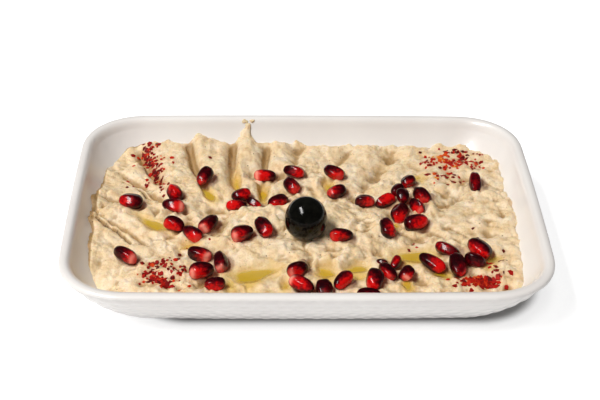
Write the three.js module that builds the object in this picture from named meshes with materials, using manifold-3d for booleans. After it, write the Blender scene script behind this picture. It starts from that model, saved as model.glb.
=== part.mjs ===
// Baba ganoush in its rectangular porcelain dish, dressed with pomegranate arils,
// an olive, pools of olive oil and red pepper flakes.
//
// Frame: millimetres, +Z up. The origin is the centre of the dish's underside,
// +X runs along the dish and +Y towards its back wall.

import * as THREE from 'three';
import { mergeVertices } from 'three/addons/utils/BufferGeometryUtils.js';
import Module from 'manifold-3d';

const wasm = await Module();
wasm.setup();

// ---------------------------------------------------------------- sizes

const gap = 0.3; // clearance kept between neighbouring pieces
const socketGrowth = 0.48; // a socket is this much larger all round, as its facets stand closer
const wallClearance = 0.5; // kept level between the dip and the leaning wall

const dish = {
  length: 217.4,
  width: 156.4,
  height: 32,
  cornerRadius: 31.5,
  cornerPower: 2.3, // 2 is a circular corner, more is squarer
  cornerTaper: 0.75, // how fast the corner radius shrinks as the wall leans in
  sideBow: 1.2, // the long and short sides swell outwards by this much
  bowSpread: 4, // power that keeps the bow to the sides and off the corners
  baseInset: 26.3, // how far the base lies inside the rim
  flare: 1.46, // power of the wall's curve from base to rim
  wall: 4.5,
  floor: 5,
  floorRound: 2, // how far the floor's edge is drawn in where it meets the wall
  floorRise: 0.6,
  lipHeight: 2.4, // plain band below the rim
  lipStep: 0.6, // the patterned wall below the lip is set back by this much
  footRound: 1.2,
  rimDrop: 0.25, // the rolled rim falls by this much on its way to each face,
  rimReach: 0.9, // this far in from the face,
  rimSide: 1.4, // and meets the face this far down
  outerLevels: [5, 10, 16],
  innerLevels: [8, 12, 17, 22.5],
  cornerSteps: 6,
  longSideSteps: 4,
  shortSideSteps: 2,
};

const dip = {
  level: 20.4, // height of the surface where nothing else shapes it
  frontFall: 1.6,
  frontFrom: -15,
  frontTo: -60,
  gridX: 3.8,
  gridY: 5.8,
};

// Local rises and falls of the surface: place, spread and height.
const swells = [
  { x: -44, y: 60, spreadX: 36, spreadY: 34, rise: 2.7 },
  { x: -95, y: 2, spreadX: 20, spreadY: 24, rise: 1.9 },
  { x: -97, y: 54, spreadX: 14, spreadY: 18, rise: -3.6 },
  { x: 92, y: 5, spreadX: 24, spreadY: 30, rise: 1.0 },
  { x: -97, y: -58, spreadX: 16, spreadY: 20, rise: -2.4 },
  { x: 97, y: -58, spreadX: 16, spreadY: 20, rise: -1.2 },
  { x: 38.5, y: -52, spreadX: 5, spreadY: 5, rise: 1.4 },
  { x: -51.5, y: 70, spreadX: 4.5, spreadY: 10, rise: 4.4 },
  { x: -28.5, y: 68, spreadX: 5, spreadY: 15, rise: 2.8 },
  { x: -12, y: 68, spreadX: 5, spreadY: 14, rise: 1.2 },
];

// Strokes of the spoon, from the wall towards the middle. The left side of a
// stroke, seen from the front, also falls away gently over a wide strip.
const strokes = [
  { from: [-57, 70], to: [-49.5, 33], bow: -1, depth: 5.4, left: 2.6, right: 2.0, fall: 1.2 },
  { from: [-33.5, 71], to: [-32, 24], bow: -2, depth: 5.4, left: 2.8, right: 2.1, fall: 1.2 },
  { from: [-16.5, 70], to: [-19, 14], bow: -1.2, depth: 4.4, left: 2.4, right: 1.9, fall: 1.0 },
  { from: [0, 68], to: [-5, 46], bow: 0, depth: 1.8, left: 3.0, right: 2.0, fall: 0.8 },
  { from: [25, 66], to: [13, 42], bow: 0, depth: 2.2, left: 3.5, right: 3.0, fall: 0.8 },
  { from: [48, 66], to: [27, 25], bow: 1, depth: 3.6, left: 3.6, right: 5.0, fall: 1.0 },
  { from: [62, 60], to: [51, 40], bow: 0, depth: 1.4, left: 3.0, right: 4.0, fall: 0.5 },
  { from: [80, 30], to: [62, 4], bow: 0, depth: 1.4, left: 4.0, right: 5.0, fall: 0.3 },
  { from: [-85, 67], to: [-66, 24], bow: 1, depth: 3.6, left: 3.4, right: 2.0, fall: 1.0 },
  { from: [-94, 46], to: [-64, 9], bow: 2, depth: 3.4, left: 2.4, right: 2.6, fall: 1.0 },
  { from: [-99, 1], to: [-72, -22], bow: 1.8, depth: 2.2, left: 1.3, right: 1.3, fall: 0.6 },
  { from: [-98, 16], to: [-87, 13], bow: 0, depth: 1.8, left: 1.3, right: 1.3, fall: 0.3 },
];
const strokeFade = { startFrom: -0.02, startTo: 0.22, endFrom: 1.12, endTo: 0.7 };
const fallWidth = { left: 9, right: 3 };

// The ring of low ground round the middle, deepest behind and in front.
const moat = {
  x: -1,
  y: -10,
  radiusX: 50,
  radiusY: 32,
  width: 0.24,
  depth: 1,
  back: { extra: 1.4, from: -0.1, to: 0.7 },
  front: { extra: 1, from: 0.1, to: 0.8 },
};

// The low mound in the middle, steep behind and easy towards the front.
const mound = {
  x: -1,
  y: -16,
  radiusX: 39,
  radiusY: 23.5,
  power: 2.6,
  top: 23,
  forwardFall: 0.065,
  fallFrom: -6,
  brow: { height: 0.6, at: 0.75, spread: 0.25 },
  steepEdge: 0.1,
  easyEdge: 0.42,
  edgeTurn: 0.35, // the steep edge gives way to the easy one over this share of the depth
  edgeStart: 0.9,
  ragged: { coarse: 0.05, coarseTurns: 0.31, coarseShift: 0.8, fine: 0.03, fineTurns: [0.6, 0.2] },
};

// Waves of the spoon's lumpy surface: height, then turns per millimetre along X and Y.
const lumps = [
  { height: 0.3, first: [0.33, 0.1, 1.0], second: [-0.12, 0.27, 0] },
  { height: 0.2, first: [0.19, -0.36, 2.0], second: null },
  { height: 0.14, first: [0.57, 0.41, 0], second: [-0.29, 0.46, 0.5] },
];

// The curled tip of dip that stands up against the back wall.
const curl = {
  foot: [-28, 65.5, 20.5],
  tip: [-27.6, 69.8, 29.6],
  footRadius: 4,
  tipRadius: 0.5,
  taper: 1.8,
  flatness: 0.7,
  sides: 6,
  rings: 4,
};

// The olive stands on end, a little wider below its middle than above.
const olive = {
  x: 0,
  y: -15.8,
  radius: 9.75,
  height: 20,
  sunk: 1.5,
  egg: 0.07,
  power: 2.1,
  rings: 10,
  sides: 18,
};

// Pomegranate arils. Each row is where one lies, which way its blunt end points,
// in degrees anticlockwise from +X, its length, its width, and for an aril
// that lies on its neighbours how much higher it sits.
const aril = {
  thickness: 0.92, // of its width
  squareness: 2.6, // 2 is an oval, more is a barrel
  taper: 0.16, // how much slimmer the tip is
  middle: 0.35, // where the width is measured, from the blunt end
  lift: 0.3, // height of the middle over the dip, of its width
  lean: 13, // degrees
  sides: 6,
  rings: [0.07, 0.32, 0.68, 0.93],
};
const arilRows = {
  back_left: [
    [-48, 30.4, 60, 11.5, 8.1],
    [-81.7, 8.7, -12, 11.6, 8.2],
    [-61.6, 17.4, -62, 10.4, 7.9],
    [-61.9, 7.5, -10, 10.9, 7.5],
    [-18.7, 40.4, 178, 11.2, 7.6],
    [-4.6, 37, -23, 10.8, 7],
    [-5.9, 26.7, -56, 10.2, 7.5],
  ],
  behind_mound: [
    [-30.1, 18.9, 22, 9.8, 7.5],
    [-32.2, 9.5, 172, 10, 7],
    [-23.9, 13.2, 148, 8.2, 5],
    [-12.4, 10.3, 25, 10.3, 6.9],
    [15.1, 37.1, -34, 11.2, 8],
    [15.8, 22.7, 22, 10, 8],
    [29, 14.3, 176, 9.7, 6.8],
  ],
  back_right: [
    [38.8, 14.4, 36, 10.8, 7.1],
    [46.9, 14.2, 100, 8.6, 6.9, 1.8],
    [45, 21.5, 45, 8.2, 6.3, 0.2],
    [50.8, 28.1, 30, 7.8, 6.6],
    [56.3, 16.4, -63, 10.8, 7.4],
    [53.3, 8.3, -52, 9.2, 6.4],
    [44.9, 4.1, 242, 12, 7.8],
    [37.5, -13.8, -74, 12, 8],
    [51.6, -6.3, 198, 11.9, 8.1],
    [83.2, 26.8, -92, 13, 7],
  ],
  middle: [
    [-60.6, -9, 155, 10.3, 7.6],
    [-44.9, -7.3, 232, 11.9, 8.1],
    [-51.8, -15.4, -38, 11.2, 8.1],
    [-19.4, -14, -66, 12.3, 7.9],
    [-29.1, -18.7, 203, 11, 8.6],
    [16.2, -20, 178, 11, 6.8],
  ],
  front_left: [
    [-80.9, -32.8, -34, 12.6, 8.2],
    [-47.9, -30.1, -26, 11.8, 8],
    [-38.9, -35.9, -84, 12.4, 7],
    [-46.7, -44, 192, 11.5, 8.5],
    [-40.5, -53.3, 0, 9.3, 7.4],
    [-4.2, -42.1, 205, 10.4, 8],
    [-2.6, -53.4, 148, 12.4, 8],
    [7.2, -57, 90, 10, 8.2],
  ],
  front_right: [
    [15.6, -51.3, 46, 11, 7.2, 1.2],
    [29.5, -51.2, 75, 11.6, 9.2],
    [35.6, -43.9, -60, 10.8, 6.7],
    [40, -35.8, 66, 7.8, 5.1],
    [34, -35.8, -28, 5.8, 4],
    [44, -45, 240, 8.6, 7],
    [26.3, -61.2, 178, 11, 7],
    [64, -28.8, 146, 12.8, 7.3],
    [78.3, -28.5, -48, 13, 9],
    [56, -38.3, -42, 14, 7.8],
    [67.2, -40.2, 100, 13.2, 8.5],
    [75.5, -36.1, 152, 10.4, 7],
  ],
};

// Pools of oil: centre, half-axes, turn of the long axis and how deep they are.
const pools = {
  oil_left: { x: -70, y: -5.5, long: 8.5, short: 3.4, turn: -38, depth: 1.5 },
  oil_groove_left: { x: -45.5, y: 21, long: 6.5, short: 2.4, turn: -62, depth: 1.4 },
  oil_groove_middle: { x: -19.5, y: 27.5, long: 6, short: 2.2, turn: 92, depth: 1.3 },
  oil_front_left: { x: -24, y: -42.5, long: 10.5, short: 5, turn: 18, depth: 1.6 },
  oil_front_middle: { x: 8.5, y: -40.5, long: 4.6, short: 4.2, turn: 0, depth: 1.5 },
  oil_front_right: { x: 22.5, y: -38.5, long: 5.6, short: 3, turn: 8, depth: 1.4 },
  oil_right: { x: 50, y: -29.3, long: 10, short: 4.6, turn: 2, depth: 1.6 },
};
const poolShape = {
  sides: 14,
  foot: 0.62,
  bend: 0.35,
  below: 0.25, // the oil's level under the lowest point of its shore
  headroom: 8,
  wobbles: [
    { share: 0.1, turns: 3 },
    { share: 0.06, turns: 5 },
  ],
};

// Red pepper flakes, in four pinches: centre, spread along and across, and turn.
const flake = {
  radius: 1.15,
  narrow: 0.6,
  thickness: 0.75,
  lift: 0.1,
  smallest: 0.8,
  spread: 0.5,
  sides: 4,
  clearance: 1.1,
  seed: 41,
};
const pinches = [
  { x: -73, y: 47, along: 13, across: 3, turn: 112, count: 11 },
  { x: 75, y: 50, along: 9, across: 6, turn: 10, count: 12 },
  { x: -67, y: -45.5, along: 6.5, across: 5, turn: -20, count: 11 },
  { x: 77.5, y: -48.5, along: 6.5, across: 3.5, turn: 5, count: 11 },
];

// ---------------------------------------------------------------- materials

function finish(color, roughness) {
  return new THREE.MeshStandardMaterial({ color, roughness, metalness: 0 });
}

const porcelain = finish('#ece8e4', 0.12);
const aubergineDip = finish('#e0caa4', 0.5);
const oliveSkin = finish('#12110f', 0.15);
const arilColours = ['#8c0d16', '#760a13', '#a3141f', '#5f0810', '#94202b'];
const arilRoughness = 0.12;
const oilColour = '#cdb23c';
const oilRoughness = 0.06;

// ---------------------------------------------------------------- helpers

const rad = THREE.MathUtils.degToRad;
const clamp = THREE.MathUtils.clamp;

function ease(from, to, value) {
  const t = clamp((value - from) / (to - from), 0, 1);
  return t * t * (3 - 2 * t);
}

function bell(distance, width) {
  return Math.exp(-((distance / width) ** 2));
}

// Repeatable random numbers from 0 to 1, each made from the last one.
function makeRandom(seed) {
  const factor = 1664525;
  const step = 1013904223;
  const range = 2 ** 32;
  let state = seed;
  return () => {
    state = (Math.imul(state, factor) + step) >>> 0;
    return state / range;
  };
}

// A closed surface through a stack of loops with the same number of points,
// shut by a fan at each end. Loops run anticlockwise seen from the last one.
function loft(loops, startPoint, endPoint) {
  const size = loops[0].length;
  const points = [...loops.flat(), startPoint, endPoint];
  const start = points.length - 2;
  const end = points.length - 1;
  const last = (loops.length - 1) * size;
  const faces = [];
  for (let i = 0; i < size; i += 1) {
    const next = (i + 1) % size;
    faces.push(start, next, i, end, last + i, last + next);
    for (let row = 0; row < last; row += size) {
      faces.push(row + i, row + next, row + size + next);
      faces.push(row + i, row + size + next, row + size + i);
    }
  }
  return surface(points.flat(), faces);
}

function surface(coordinates, faces) {
  const geometry = new THREE.BufferGeometry();
  geometry.setAttribute('position', new THREE.Float32BufferAttribute(coordinates, 3));
  geometry.setIndex(faces);
  geometry.computeVertexNormals();
  return geometry;
}

function solidOf(geometry) {
  const bare = geometry.clone();
  bare.deleteAttribute('normal');
  bare.deleteAttribute('uv');
  const merged = mergeVertices(bare);
  const corners = merged.index.array;
  const faces = [];
  for (let i = 0; i < corners.length; i += 3) {
    const [a, b, c] = corners.slice(i, i + 3);
    if (a !== b && b !== c && c !== a) {
      faces.push(a, b, c);
    }
  }
  return new wasm.Manifold(
    new wasm.Mesh({
      numProp: 3,
      vertProperties: new Float32Array(merged.attributes.position.array),
      triVerts: new Uint32Array(faces),
    }),
  );
}

function geometryOf(solid) {
  const mesh = solid.getMesh();
  return surface(Array.from(mesh.vertProperties), Array.from(mesh.triVerts));
}

// A mesh's own shape where it stands, as a solid.
function solidInPlace(mesh) {
  mesh.updateMatrix();
  return solidOf(mesh.geometry.clone().applyMatrix4(mesh.matrix));
}

function makeMesh(name, geometry, material) {
  const mesh = new THREE.Mesh(geometry, material);
  mesh.name = name;
  return mesh;
}

// ---------------------------------------------------------------- dish

// How far the outer wall lies inside the rim at a height.
function wallInset(z) {
  return dish.baseInset * (1 - z / dish.height) ** dish.flare;
}

// One corner of the outline, from its +X end to its +Y end.
function cornerArc(radius) {
  const power = dish.cornerPower;
  const arc = [];
  for (let step = 0; step <= dish.cornerSteps; step += 1) {
    const angle = rad((90 * step) / dish.cornerSteps);
    const c = Math.max(Math.cos(angle), 0);
    const s = Math.sin(angle);
    const reach = radius * (c ** power + s ** power) ** (-1 / power);
    arc.push([c * reach, s * reach]);
  }
  return arc;
}

// The dish's outline, drawn in by an inset, at a height. The corners tighten
// as the wall leans in, and a wall thickness tightens them one for one.
function dishLoop(inset, thickness, z) {
  const halfLength = dish.length / 2 - inset - thickness;
  const halfWidth = dish.width / 2 - inset - thickness;
  const radius = dish.cornerRadius - dish.cornerTaper * inset - thickness;
  const flatX = halfLength - radius;
  const flatY = halfWidth - radius;
  const arc = cornerArc(radius).map(([x, y]) => [flatX + x, flatY + y]);
  const alongBack = [];
  for (let step = 1; step < dish.longSideSteps; step += 1) {
    alongBack.push([flatX * (1 - (2 * step) / dish.longSideSteps), halfWidth]);
  }
  const alongLeft = [];
  for (let step = 1; step < dish.shortSideSteps; step += 1) {
    alongLeft.push([-halfLength, flatY * (1 - (2 * step) / dish.shortSideSteps)]);
  }
  const mirrored = arc.map(([x, y]) => [-x, y]).reverse();
  const half = [...arc, ...alongBack, ...mirrored, ...alongLeft];
  const turned = half.map(([x, y]) => [-x, -y]);
  return [...half, ...turned].map(([x, y]) => {
    const bowX = (1 - (y / halfWidth) ** 2) * (Math.abs(x) / halfLength) ** dish.bowSpread;
    const bowY = (1 - (x / halfLength) ** 2) * (Math.abs(y) / halfWidth) ** dish.bowSpread;
    return [
      x + Math.sign(x) * dish.sideBow * (bowX - 1),
      y + Math.sign(y) * dish.sideBow * (bowY - 1),
      z,
    ];
  });
}

function makeDish() {
  const lipFoot = dish.height - dish.lipHeight;
  const rimFoot = dish.height - dish.rimSide;
  const rolled = dish.height - dish.rimDrop;
  const loops = [
    dishLoop(dish.baseInset + dish.footRound, 0, 0),
    dishLoop(wallInset(dish.footRound) + dish.lipStep, 0, dish.footRound),
  ];
  for (const z of [...dish.outerLevels, lipFoot - dish.lipStep]) {
    loops.push(dishLoop(wallInset(z) + dish.lipStep, 0, z));
  }
  loops.push(dishLoop(wallInset(lipFoot), 0, lipFoot));
  loops.push(dishLoop(0, 0, rimFoot));
  loops.push(dishLoop(0, dish.rimReach, rolled));
  loops.push(dishLoop(0, dish.wall / 2, dish.height));
  loops.push(dishLoop(0, dish.wall - dish.rimReach, rolled));
  loops.push(dishLoop(0, dish.wall, rimFoot));
  for (const z of [...dish.innerLevels].reverse()) {
    loops.push(dishLoop(wallInset(z), dish.wall, z));
  }
  const floorEdge = dish.floor + dish.floorRise;
  loops.push(dishLoop(wallInset(floorEdge), dish.wall, floorEdge));
  loops.push(dishLoop(wallInset(dish.floor) + dish.floorRound, dish.wall, dish.floor));
  return loft(loops, [0, 0, 0], [0, 0, dish.floor]);
}

// The room inside the dish, kept clear of its walls and floor.
function makeRoom() {
  const thickness = dish.wall + wallClearance;
  const floor = dish.floor + gap;
  const edge = floor + dish.floorRise;
  const loops = [dishLoop(wallInset(floor) + dish.floorRound, thickness, floor)];
  for (const z of [edge, ...dish.innerLevels, dish.height - dish.rimSide]) {
    loops.push(dishLoop(wallInset(z), thickness, z));
  }
  return loft(loops, [0, 0, floor], [0, 0, dish.height - dish.rimSide]);
}

// ---------------------------------------------------------------- dip surface

function strokeDepth(stroke, x, y) {
  const runX = stroke.to[0] - stroke.from[0];
  const runY = stroke.to[1] - stroke.from[1];
  const run = Math.hypot(runX, runY);
  const along = ((x - stroke.from[0]) * runX + (y - stroke.from[1]) * runY) / run ** 2;
  const straight = ((y - stroke.from[1]) * runX - (x - stroke.from[0]) * runY) / run;
  const across = straight - stroke.bow * 4 * along * (1 - along);
  const start = ease(strokeFade.startFrom, strokeFade.startTo, along);
  const end = 1 - ease(strokeFade.endTo, strokeFade.endFrom, along);
  const sharp = bell(across, across < 0 ? stroke.left : stroke.right);
  const broad = bell(across, across < 0 ? fallWidth.left : fallWidth.right);
  return start * end * (stroke.depth * sharp + stroke.fall * broad);
}

function moatDepth(x, y) {
  const ringX = (x - moat.x) / moat.radiusX;
  const ringY = (y - moat.y) / moat.radiusY;
  const ring = Math.hypot(ringX, ringY);
  const bearing = ring > 0 ? ringY / ring : 0;
  const behind = moat.back.extra * ease(moat.back.from, moat.back.to, bearing);
  const ahead = moat.front.extra * ease(moat.front.from, moat.front.to, -bearing);
  return (moat.depth + behind + ahead) * bell(ring - 1, moat.width);
}

// How high the mound's own top stands at a place, and how far it has a say there.
function moundAt(x, y) {
  const across = (x - mound.x) / mound.radiusX;
  const depth = (y - mound.y) / mound.radiusY;
  const { ragged, brow, power } = mound;
  const coarse = ragged.coarse * Math.sin(ragged.coarseTurns * x + ragged.coarseShift);
  const fine = ragged.fine * Math.sin(ragged.fineTurns[0] * x + ragged.fineTurns[1] * y);
  const round = (Math.abs(across) ** power + Math.abs(depth) ** power) ** (1 / power);
  const easy = ease(-mound.edgeTurn, mound.edgeTurn, -depth);
  const edge = mound.steepEdge + (mound.easyEdge - mound.steepEdge) * easy;
  const share = 1 - ease(1 - mound.edgeStart * edge, 1 + edge, round + coarse + fine);
  const fall = mound.forwardFall * Math.min(y - mound.fallFrom, 0);
  return { share, top: mound.top + fall + brow.height * bell(depth - brow.at, brow.spread) };
}

function wave(terms, x, y) {
  return terms ? Math.sin(terms[0] * x + terms[1] * y + terms[2]) : 1;
}

function surfaceHeight(x, y) {
  let z = dip.level - dip.frontFall * ease(-dip.frontFrom, -dip.frontTo, -y);
  for (const swell of swells) {
    z += swell.rise * bell(x - swell.x, swell.spreadX) * bell(y - swell.y, swell.spreadY);
  }
  for (const stroke of strokes) {
    z -= strokeDepth(stroke, x, y);
  }
  z -= moatDepth(x, y);
  const { share, top } = moundAt(x, y);
  z += share * (top - z);
  for (const lump of lumps) {
    z += lump.height * wave(lump.first, x, y) * wave(lump.second, x, y);
  }
  return z;
}

const columns = Math.ceil(dish.length / dip.gridX);
const rows = Math.ceil(dish.width / dip.gridY);
const left = (-columns * dip.gridX) / 2;
const front = (-rows * dip.gridY) / 2;

// The height of the block's top, which is flat between the points of its grid.
function gridHeight(x, y) {
  const column = Math.floor((x - left) / dip.gridX);
  const row = Math.floor((y - front) / dip.gridY);
  const u = (x - left) / dip.gridX - column;
  const v = (y - front) / dip.gridY - row;
  const corner = (i, j) => surfaceHeight(left + (column + i) * dip.gridX, front + (row + j) * dip.gridY);
  const near = corner(0, 0);
  const far = corner(1, 1);
  const side = u > v ? corner(1, 0) : corner(0, 1);
  return near + Math.max(u, v) * (side - near) + Math.min(u, v) * (far - side);
}

// A block under the surface, wider than the dish's room, on a plain grid.
function makeBlock() {
  const points = [];
  const faces = [];
  const index = (column, row) => row * (columns + 1) + column;
  for (let row = 0; row <= rows; row += 1) {
    for (let column = 0; column <= columns; column += 1) {
      const x = left + column * dip.gridX;
      const y = front + row * dip.gridY;
      points.push(x, y, surfaceHeight(x, y));
    }
  }
  for (let row = 0; row < rows; row += 1) {
    for (let column = 0; column < columns; column += 1) {
      const a = index(column, row);
      const b = index(column + 1, row);
      const c = index(column + 1, row + 1);
      const d = index(column, row + 1);
      faces.push(a, b, c, a, c, d);
    }
  }
  const edge = [];
  for (let column = 0; column < columns; column += 1) {
    edge.push(index(column, 0));
  }
  for (let row = 0; row < rows; row += 1) {
    edge.push(index(columns, row));
  }
  for (let column = columns; column > 0; column -= 1) {
    edge.push(index(column, rows));
  }
  for (let row = rows; row > 0; row -= 1) {
    edge.push(index(0, row));
  }
  const under = points.length / 3;
  points.push(0, 0, 0);
  edge.forEach((point, i) => faces.push(under, edge[(i + 1) % edge.length], point));
  return surface(points, faces);
}

function makeCurl() {
  const foot = new THREE.Vector3(...curl.foot);
  const tip = new THREE.Vector3(...curl.tip);
  const loops = [];
  for (let ring = 0; ring < curl.rings; ring += 1) {
    const t = ring / (curl.rings - 1);
    const centre = foot.clone().lerp(tip, t);
    const radius = curl.tipRadius + (curl.footRadius - curl.tipRadius) * (1 - t) ** curl.taper;
    const loop = [];
    for (let side = 0; side < curl.sides; side += 1) {
      const angle = (2 * Math.PI * side) / curl.sides;
      const x = centre.x + radius * Math.cos(angle);
      const y = centre.y + curl.flatness * radius * Math.sin(angle);
      loop.push([x, y, centre.z]);
    }
    loops.push(loop);
  }
  return loft(loops, curl.foot, curl.tip);
}

// ---------------------------------------------------------------- olive

function makeOlive(grow) {
  const profile = [];
  for (let ring = 0; ring <= olive.rings; ring += 1) {
    const t = -1 + (2 * ring) / olive.rings;
    const height = Math.sin((t * Math.PI) / 2);
    const round = (1 - Math.abs(height) ** olive.power) ** (1 / olive.power);
    const radius = (olive.radius + grow) * round * (1 - olive.egg * height);
    profile.push(new THREE.Vector2(radius, (olive.height / 2 + grow) * height));
  }
  const mesh = makeMesh('olive', new THREE.LatheGeometry(profile, olive.sides), oliveSkin);
  mesh.rotation.x = Math.PI / 2;
  const foot = surfaceHeight(olive.x, olive.y) - olive.sunk;
  mesh.position.set(olive.x, olive.y, foot + olive.height / 2);
  return mesh;
}

// ---------------------------------------------------------------- arils

// A kernel with its blunt end towards +X, its sides flattened into facets.
function kernel(length, width) {
  const loops = aril.rings.map((along) => {
    const barrel = (1 - Math.abs(2 * along - 1) ** aril.squareness) ** (1 / aril.squareness);
    const across = (width / 2) * barrel * (1 - aril.taper * (along - aril.middle));
    const loop = [];
    for (let side = 0; side < aril.sides; side += 1) {
      const angle = (-2 * Math.PI * side) / aril.sides;
      const x = length * (0.5 - along);
      loop.push([x, across * Math.cos(angle), aril.thickness * across * Math.sin(angle)]);
    }
    return loop;
  });
  return loft(loops, [length / 2, 0, 0], [-length / 2, 0, 0]);
}

function makeAril(name, [x, y, heading, length, width, raise = 0], color, grow) {
  const geometry = kernel(length + 2 * grow, width + 2 * grow);
  const mesh = makeMesh(name, geometry, finish(color, arilRoughness));
  const turn = rad(heading);
  mesh.rotation.set(0, rad(-aril.lean * Math.sin(turn)), turn, 'ZYX');
  mesh.position.set(x, y, surfaceHeight(x, y) + aril.lift * width + raise);
  return mesh;
}

// ---------------------------------------------------------------- oil

// How the shore swings in and out round a pool, no two alike.
function poolWobble(pool, angle) {
  const [slow, fast] = poolShape.wobbles;
  const slowSwing = slow.share * Math.sin(slow.turns * angle + pool.x);
  const fastSwing = fast.share * Math.sin(fast.turns * angle + pool.y);
  return 1 + slowSwing + fastSwing;
}

function poolLoop(pool, grow, scale, z) {
  const turn = rad(pool.turn);
  const loop = [];
  for (let side = 0; side < poolShape.sides; side += 1) {
    const angle = (2 * Math.PI * side) / poolShape.sides;
    const wobble = scale * poolWobble(pool, angle);
    const u = (pool.long * wobble + grow) * Math.cos(angle);
    const v = (pool.short * wobble + grow) * Math.sin(angle);
    const x = pool.x + u * Math.cos(turn) - v * Math.sin(turn);
    const y = pool.y + u * Math.sin(turn) + v * Math.cos(turn);
    loop.push([x, y, z]);
  }
  return loop;
}

// The oil stands level, just below the lowest point of the dip round it.
function poolLevel(pool) {
  const shore = poolLoop(pool, gap, 1, 0);
  return Math.min(...shore.map(([x, y]) => surfaceHeight(x, y))) - poolShape.below;
}

function makePool(pool, grow, headroom) {
  const level = poolLevel(pool);
  const foot = level - pool.depth - grow;
  const brim = level + headroom;
  const loops = [
    poolLoop(pool, grow, poolShape.foot, foot),
    poolLoop(pool, grow, 1, level - poolShape.bend * pool.depth - grow),
    poolLoop(pool, grow, 1, brim),
  ];
  return loft(loops, [pool.x, pool.y, foot], [pool.x, pool.y, brim]);
}

// ---------------------------------------------------------------- flakes

function makeFlake(x, y, size, turn) {
  const radius = flake.radius * size;
  const z = gridHeight(x, y);
  const loop = [];
  for (let side = 0; side < flake.sides; side += 1) {
    const angle = turn + (2 * Math.PI * side) / flake.sides;
    const reach = radius * (side % 2 ? flake.narrow : 1);
    loop.push([x + reach * Math.cos(angle), y + reach * Math.sin(angle), z + flake.lift * flake.thickness]);
  }
  return loft([loop], [x, y, z - flake.thickness], [x, y, z + flake.thickness]);
}

// Flakes of one pinch, spread evenly over an oval and kept off the arils.
function pinchOf(pinch, random) {
  const flakes = [];
  const turn = rad(pinch.turn);
  for (let i = 0; i < pinch.count; i += 1) {
    const angle = 2 * Math.PI * random();
    const reach = Math.sqrt(random());
    const u = pinch.along * reach * Math.cos(angle);
    const v = pinch.across * reach * Math.sin(angle);
    const x = pinch.x + u * Math.cos(turn) - v * Math.sin(turn);
    const y = pinch.y + u * Math.sin(turn) + v * Math.cos(turn);
    const size = flake.smallest + flake.spread * random();
    const heading = Math.PI * random();
    const onAril = Object.values(arilRows)
      .flat()
      .some(([ax, ay, , length]) => Math.hypot(x - ax, y - ay) < length / 2 + flake.clearance);
    if (!onAril) {
      flakes.push(makeFlake(x, y, size, heading));
    }
  }
  return flakes;
}

// ---------------------------------------------------------------- assembly

const part = new THREE.Group();
part.add(makeMesh('dish', makeDish(), porcelain));
part.add(makeOlive(0));

const garnish = [];
for (const [place, placeRows] of Object.entries(arilRows)) {
  const group = new THREE.Group();
  placeRows.forEach((row, i) => {
    const color = arilColours[(i * 2 + place.length) % arilColours.length];
    const name = `aril_${place}_${i + 1}`;
    group.add(makeAril(name, row, color, 0));
    garnish.push(solidInPlace(makeAril(name, row, color, socketGrowth)));
  });
  part.add(group);
}
const arilSockets = garnish.reduce((all, one) => all.add(one));

let dipSolid = solidOf(makeBlock()).add(solidOf(makeCurl()));
dipSolid = dipSolid.intersect(solidOf(makeRoom()));
dipSolid = dipSolid.subtract(solidInPlace(makeOlive(socketGrowth)));
dipSolid = dipSolid.subtract(arilSockets);

const oil = new THREE.Group();
for (const [name, pool] of Object.entries(pools)) {
  const level = poolLevel(pool);
  const geometry = geometryOf(solidOf(makePool(pool, 0, 0)).subtract(arilSockets));
  geometry.translate(-pool.x, -pool.y, -level);
  const mesh = makeMesh(name, geometry, finish(oilColour, oilRoughness));
  mesh.position.set(pool.x, pool.y, level);
  oil.add(mesh);
  dipSolid = dipSolid.subtract(solidOf(makePool(pool, socketGrowth, poolShape.headroom)));
}
part.add(oil);

const random = makeRandom(flake.seed);
for (const pinch of pinches) {
  for (const geometry of pinchOf(pinch, random)) {
    dipSolid = dipSolid.add(solidOf(geometry));
  }
}
part.add(makeMesh('baba_ganoush', geometryOf(dipSolid), aubergineDip));

export default part;
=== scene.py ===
# %% [markdown]
# # Baba ganoush in its dish
# A smoky aubergine dip fills a white porcelain dish. On it lie pomegranate arils, a
# black olive, olive oil and red pepper flakes. Every piece is a mesh worked out from
# formulas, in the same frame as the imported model. Sizes are given in millimetres and
# turned to metres when a mesh is made, because Blender counts in metres.

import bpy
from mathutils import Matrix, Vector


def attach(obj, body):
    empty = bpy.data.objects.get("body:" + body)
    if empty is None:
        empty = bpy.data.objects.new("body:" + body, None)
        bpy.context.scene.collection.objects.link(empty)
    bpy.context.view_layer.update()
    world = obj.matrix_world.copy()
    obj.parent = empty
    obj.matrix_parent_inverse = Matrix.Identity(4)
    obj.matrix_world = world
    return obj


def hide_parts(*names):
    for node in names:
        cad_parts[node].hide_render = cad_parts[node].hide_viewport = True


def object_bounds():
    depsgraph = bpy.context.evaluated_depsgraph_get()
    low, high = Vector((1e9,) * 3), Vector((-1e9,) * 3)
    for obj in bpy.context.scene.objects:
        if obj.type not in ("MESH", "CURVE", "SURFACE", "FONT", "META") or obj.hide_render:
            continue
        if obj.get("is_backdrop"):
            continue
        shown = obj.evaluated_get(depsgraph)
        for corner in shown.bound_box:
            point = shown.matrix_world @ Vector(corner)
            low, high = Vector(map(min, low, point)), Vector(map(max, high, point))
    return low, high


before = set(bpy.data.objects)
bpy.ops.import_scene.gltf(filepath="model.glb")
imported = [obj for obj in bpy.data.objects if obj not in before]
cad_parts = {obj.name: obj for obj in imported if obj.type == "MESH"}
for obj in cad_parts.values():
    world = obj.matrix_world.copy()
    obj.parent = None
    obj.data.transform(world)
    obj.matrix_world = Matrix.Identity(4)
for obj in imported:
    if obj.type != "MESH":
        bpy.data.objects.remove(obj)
cad_box = [list(corner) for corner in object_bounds()]
print("nodes in the frame:", len(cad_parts))

# %% Tools
import math

import bpy
import numpy as np
from mathutils import Matrix, Vector

MM = 0.001
BODY = "root"


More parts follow.
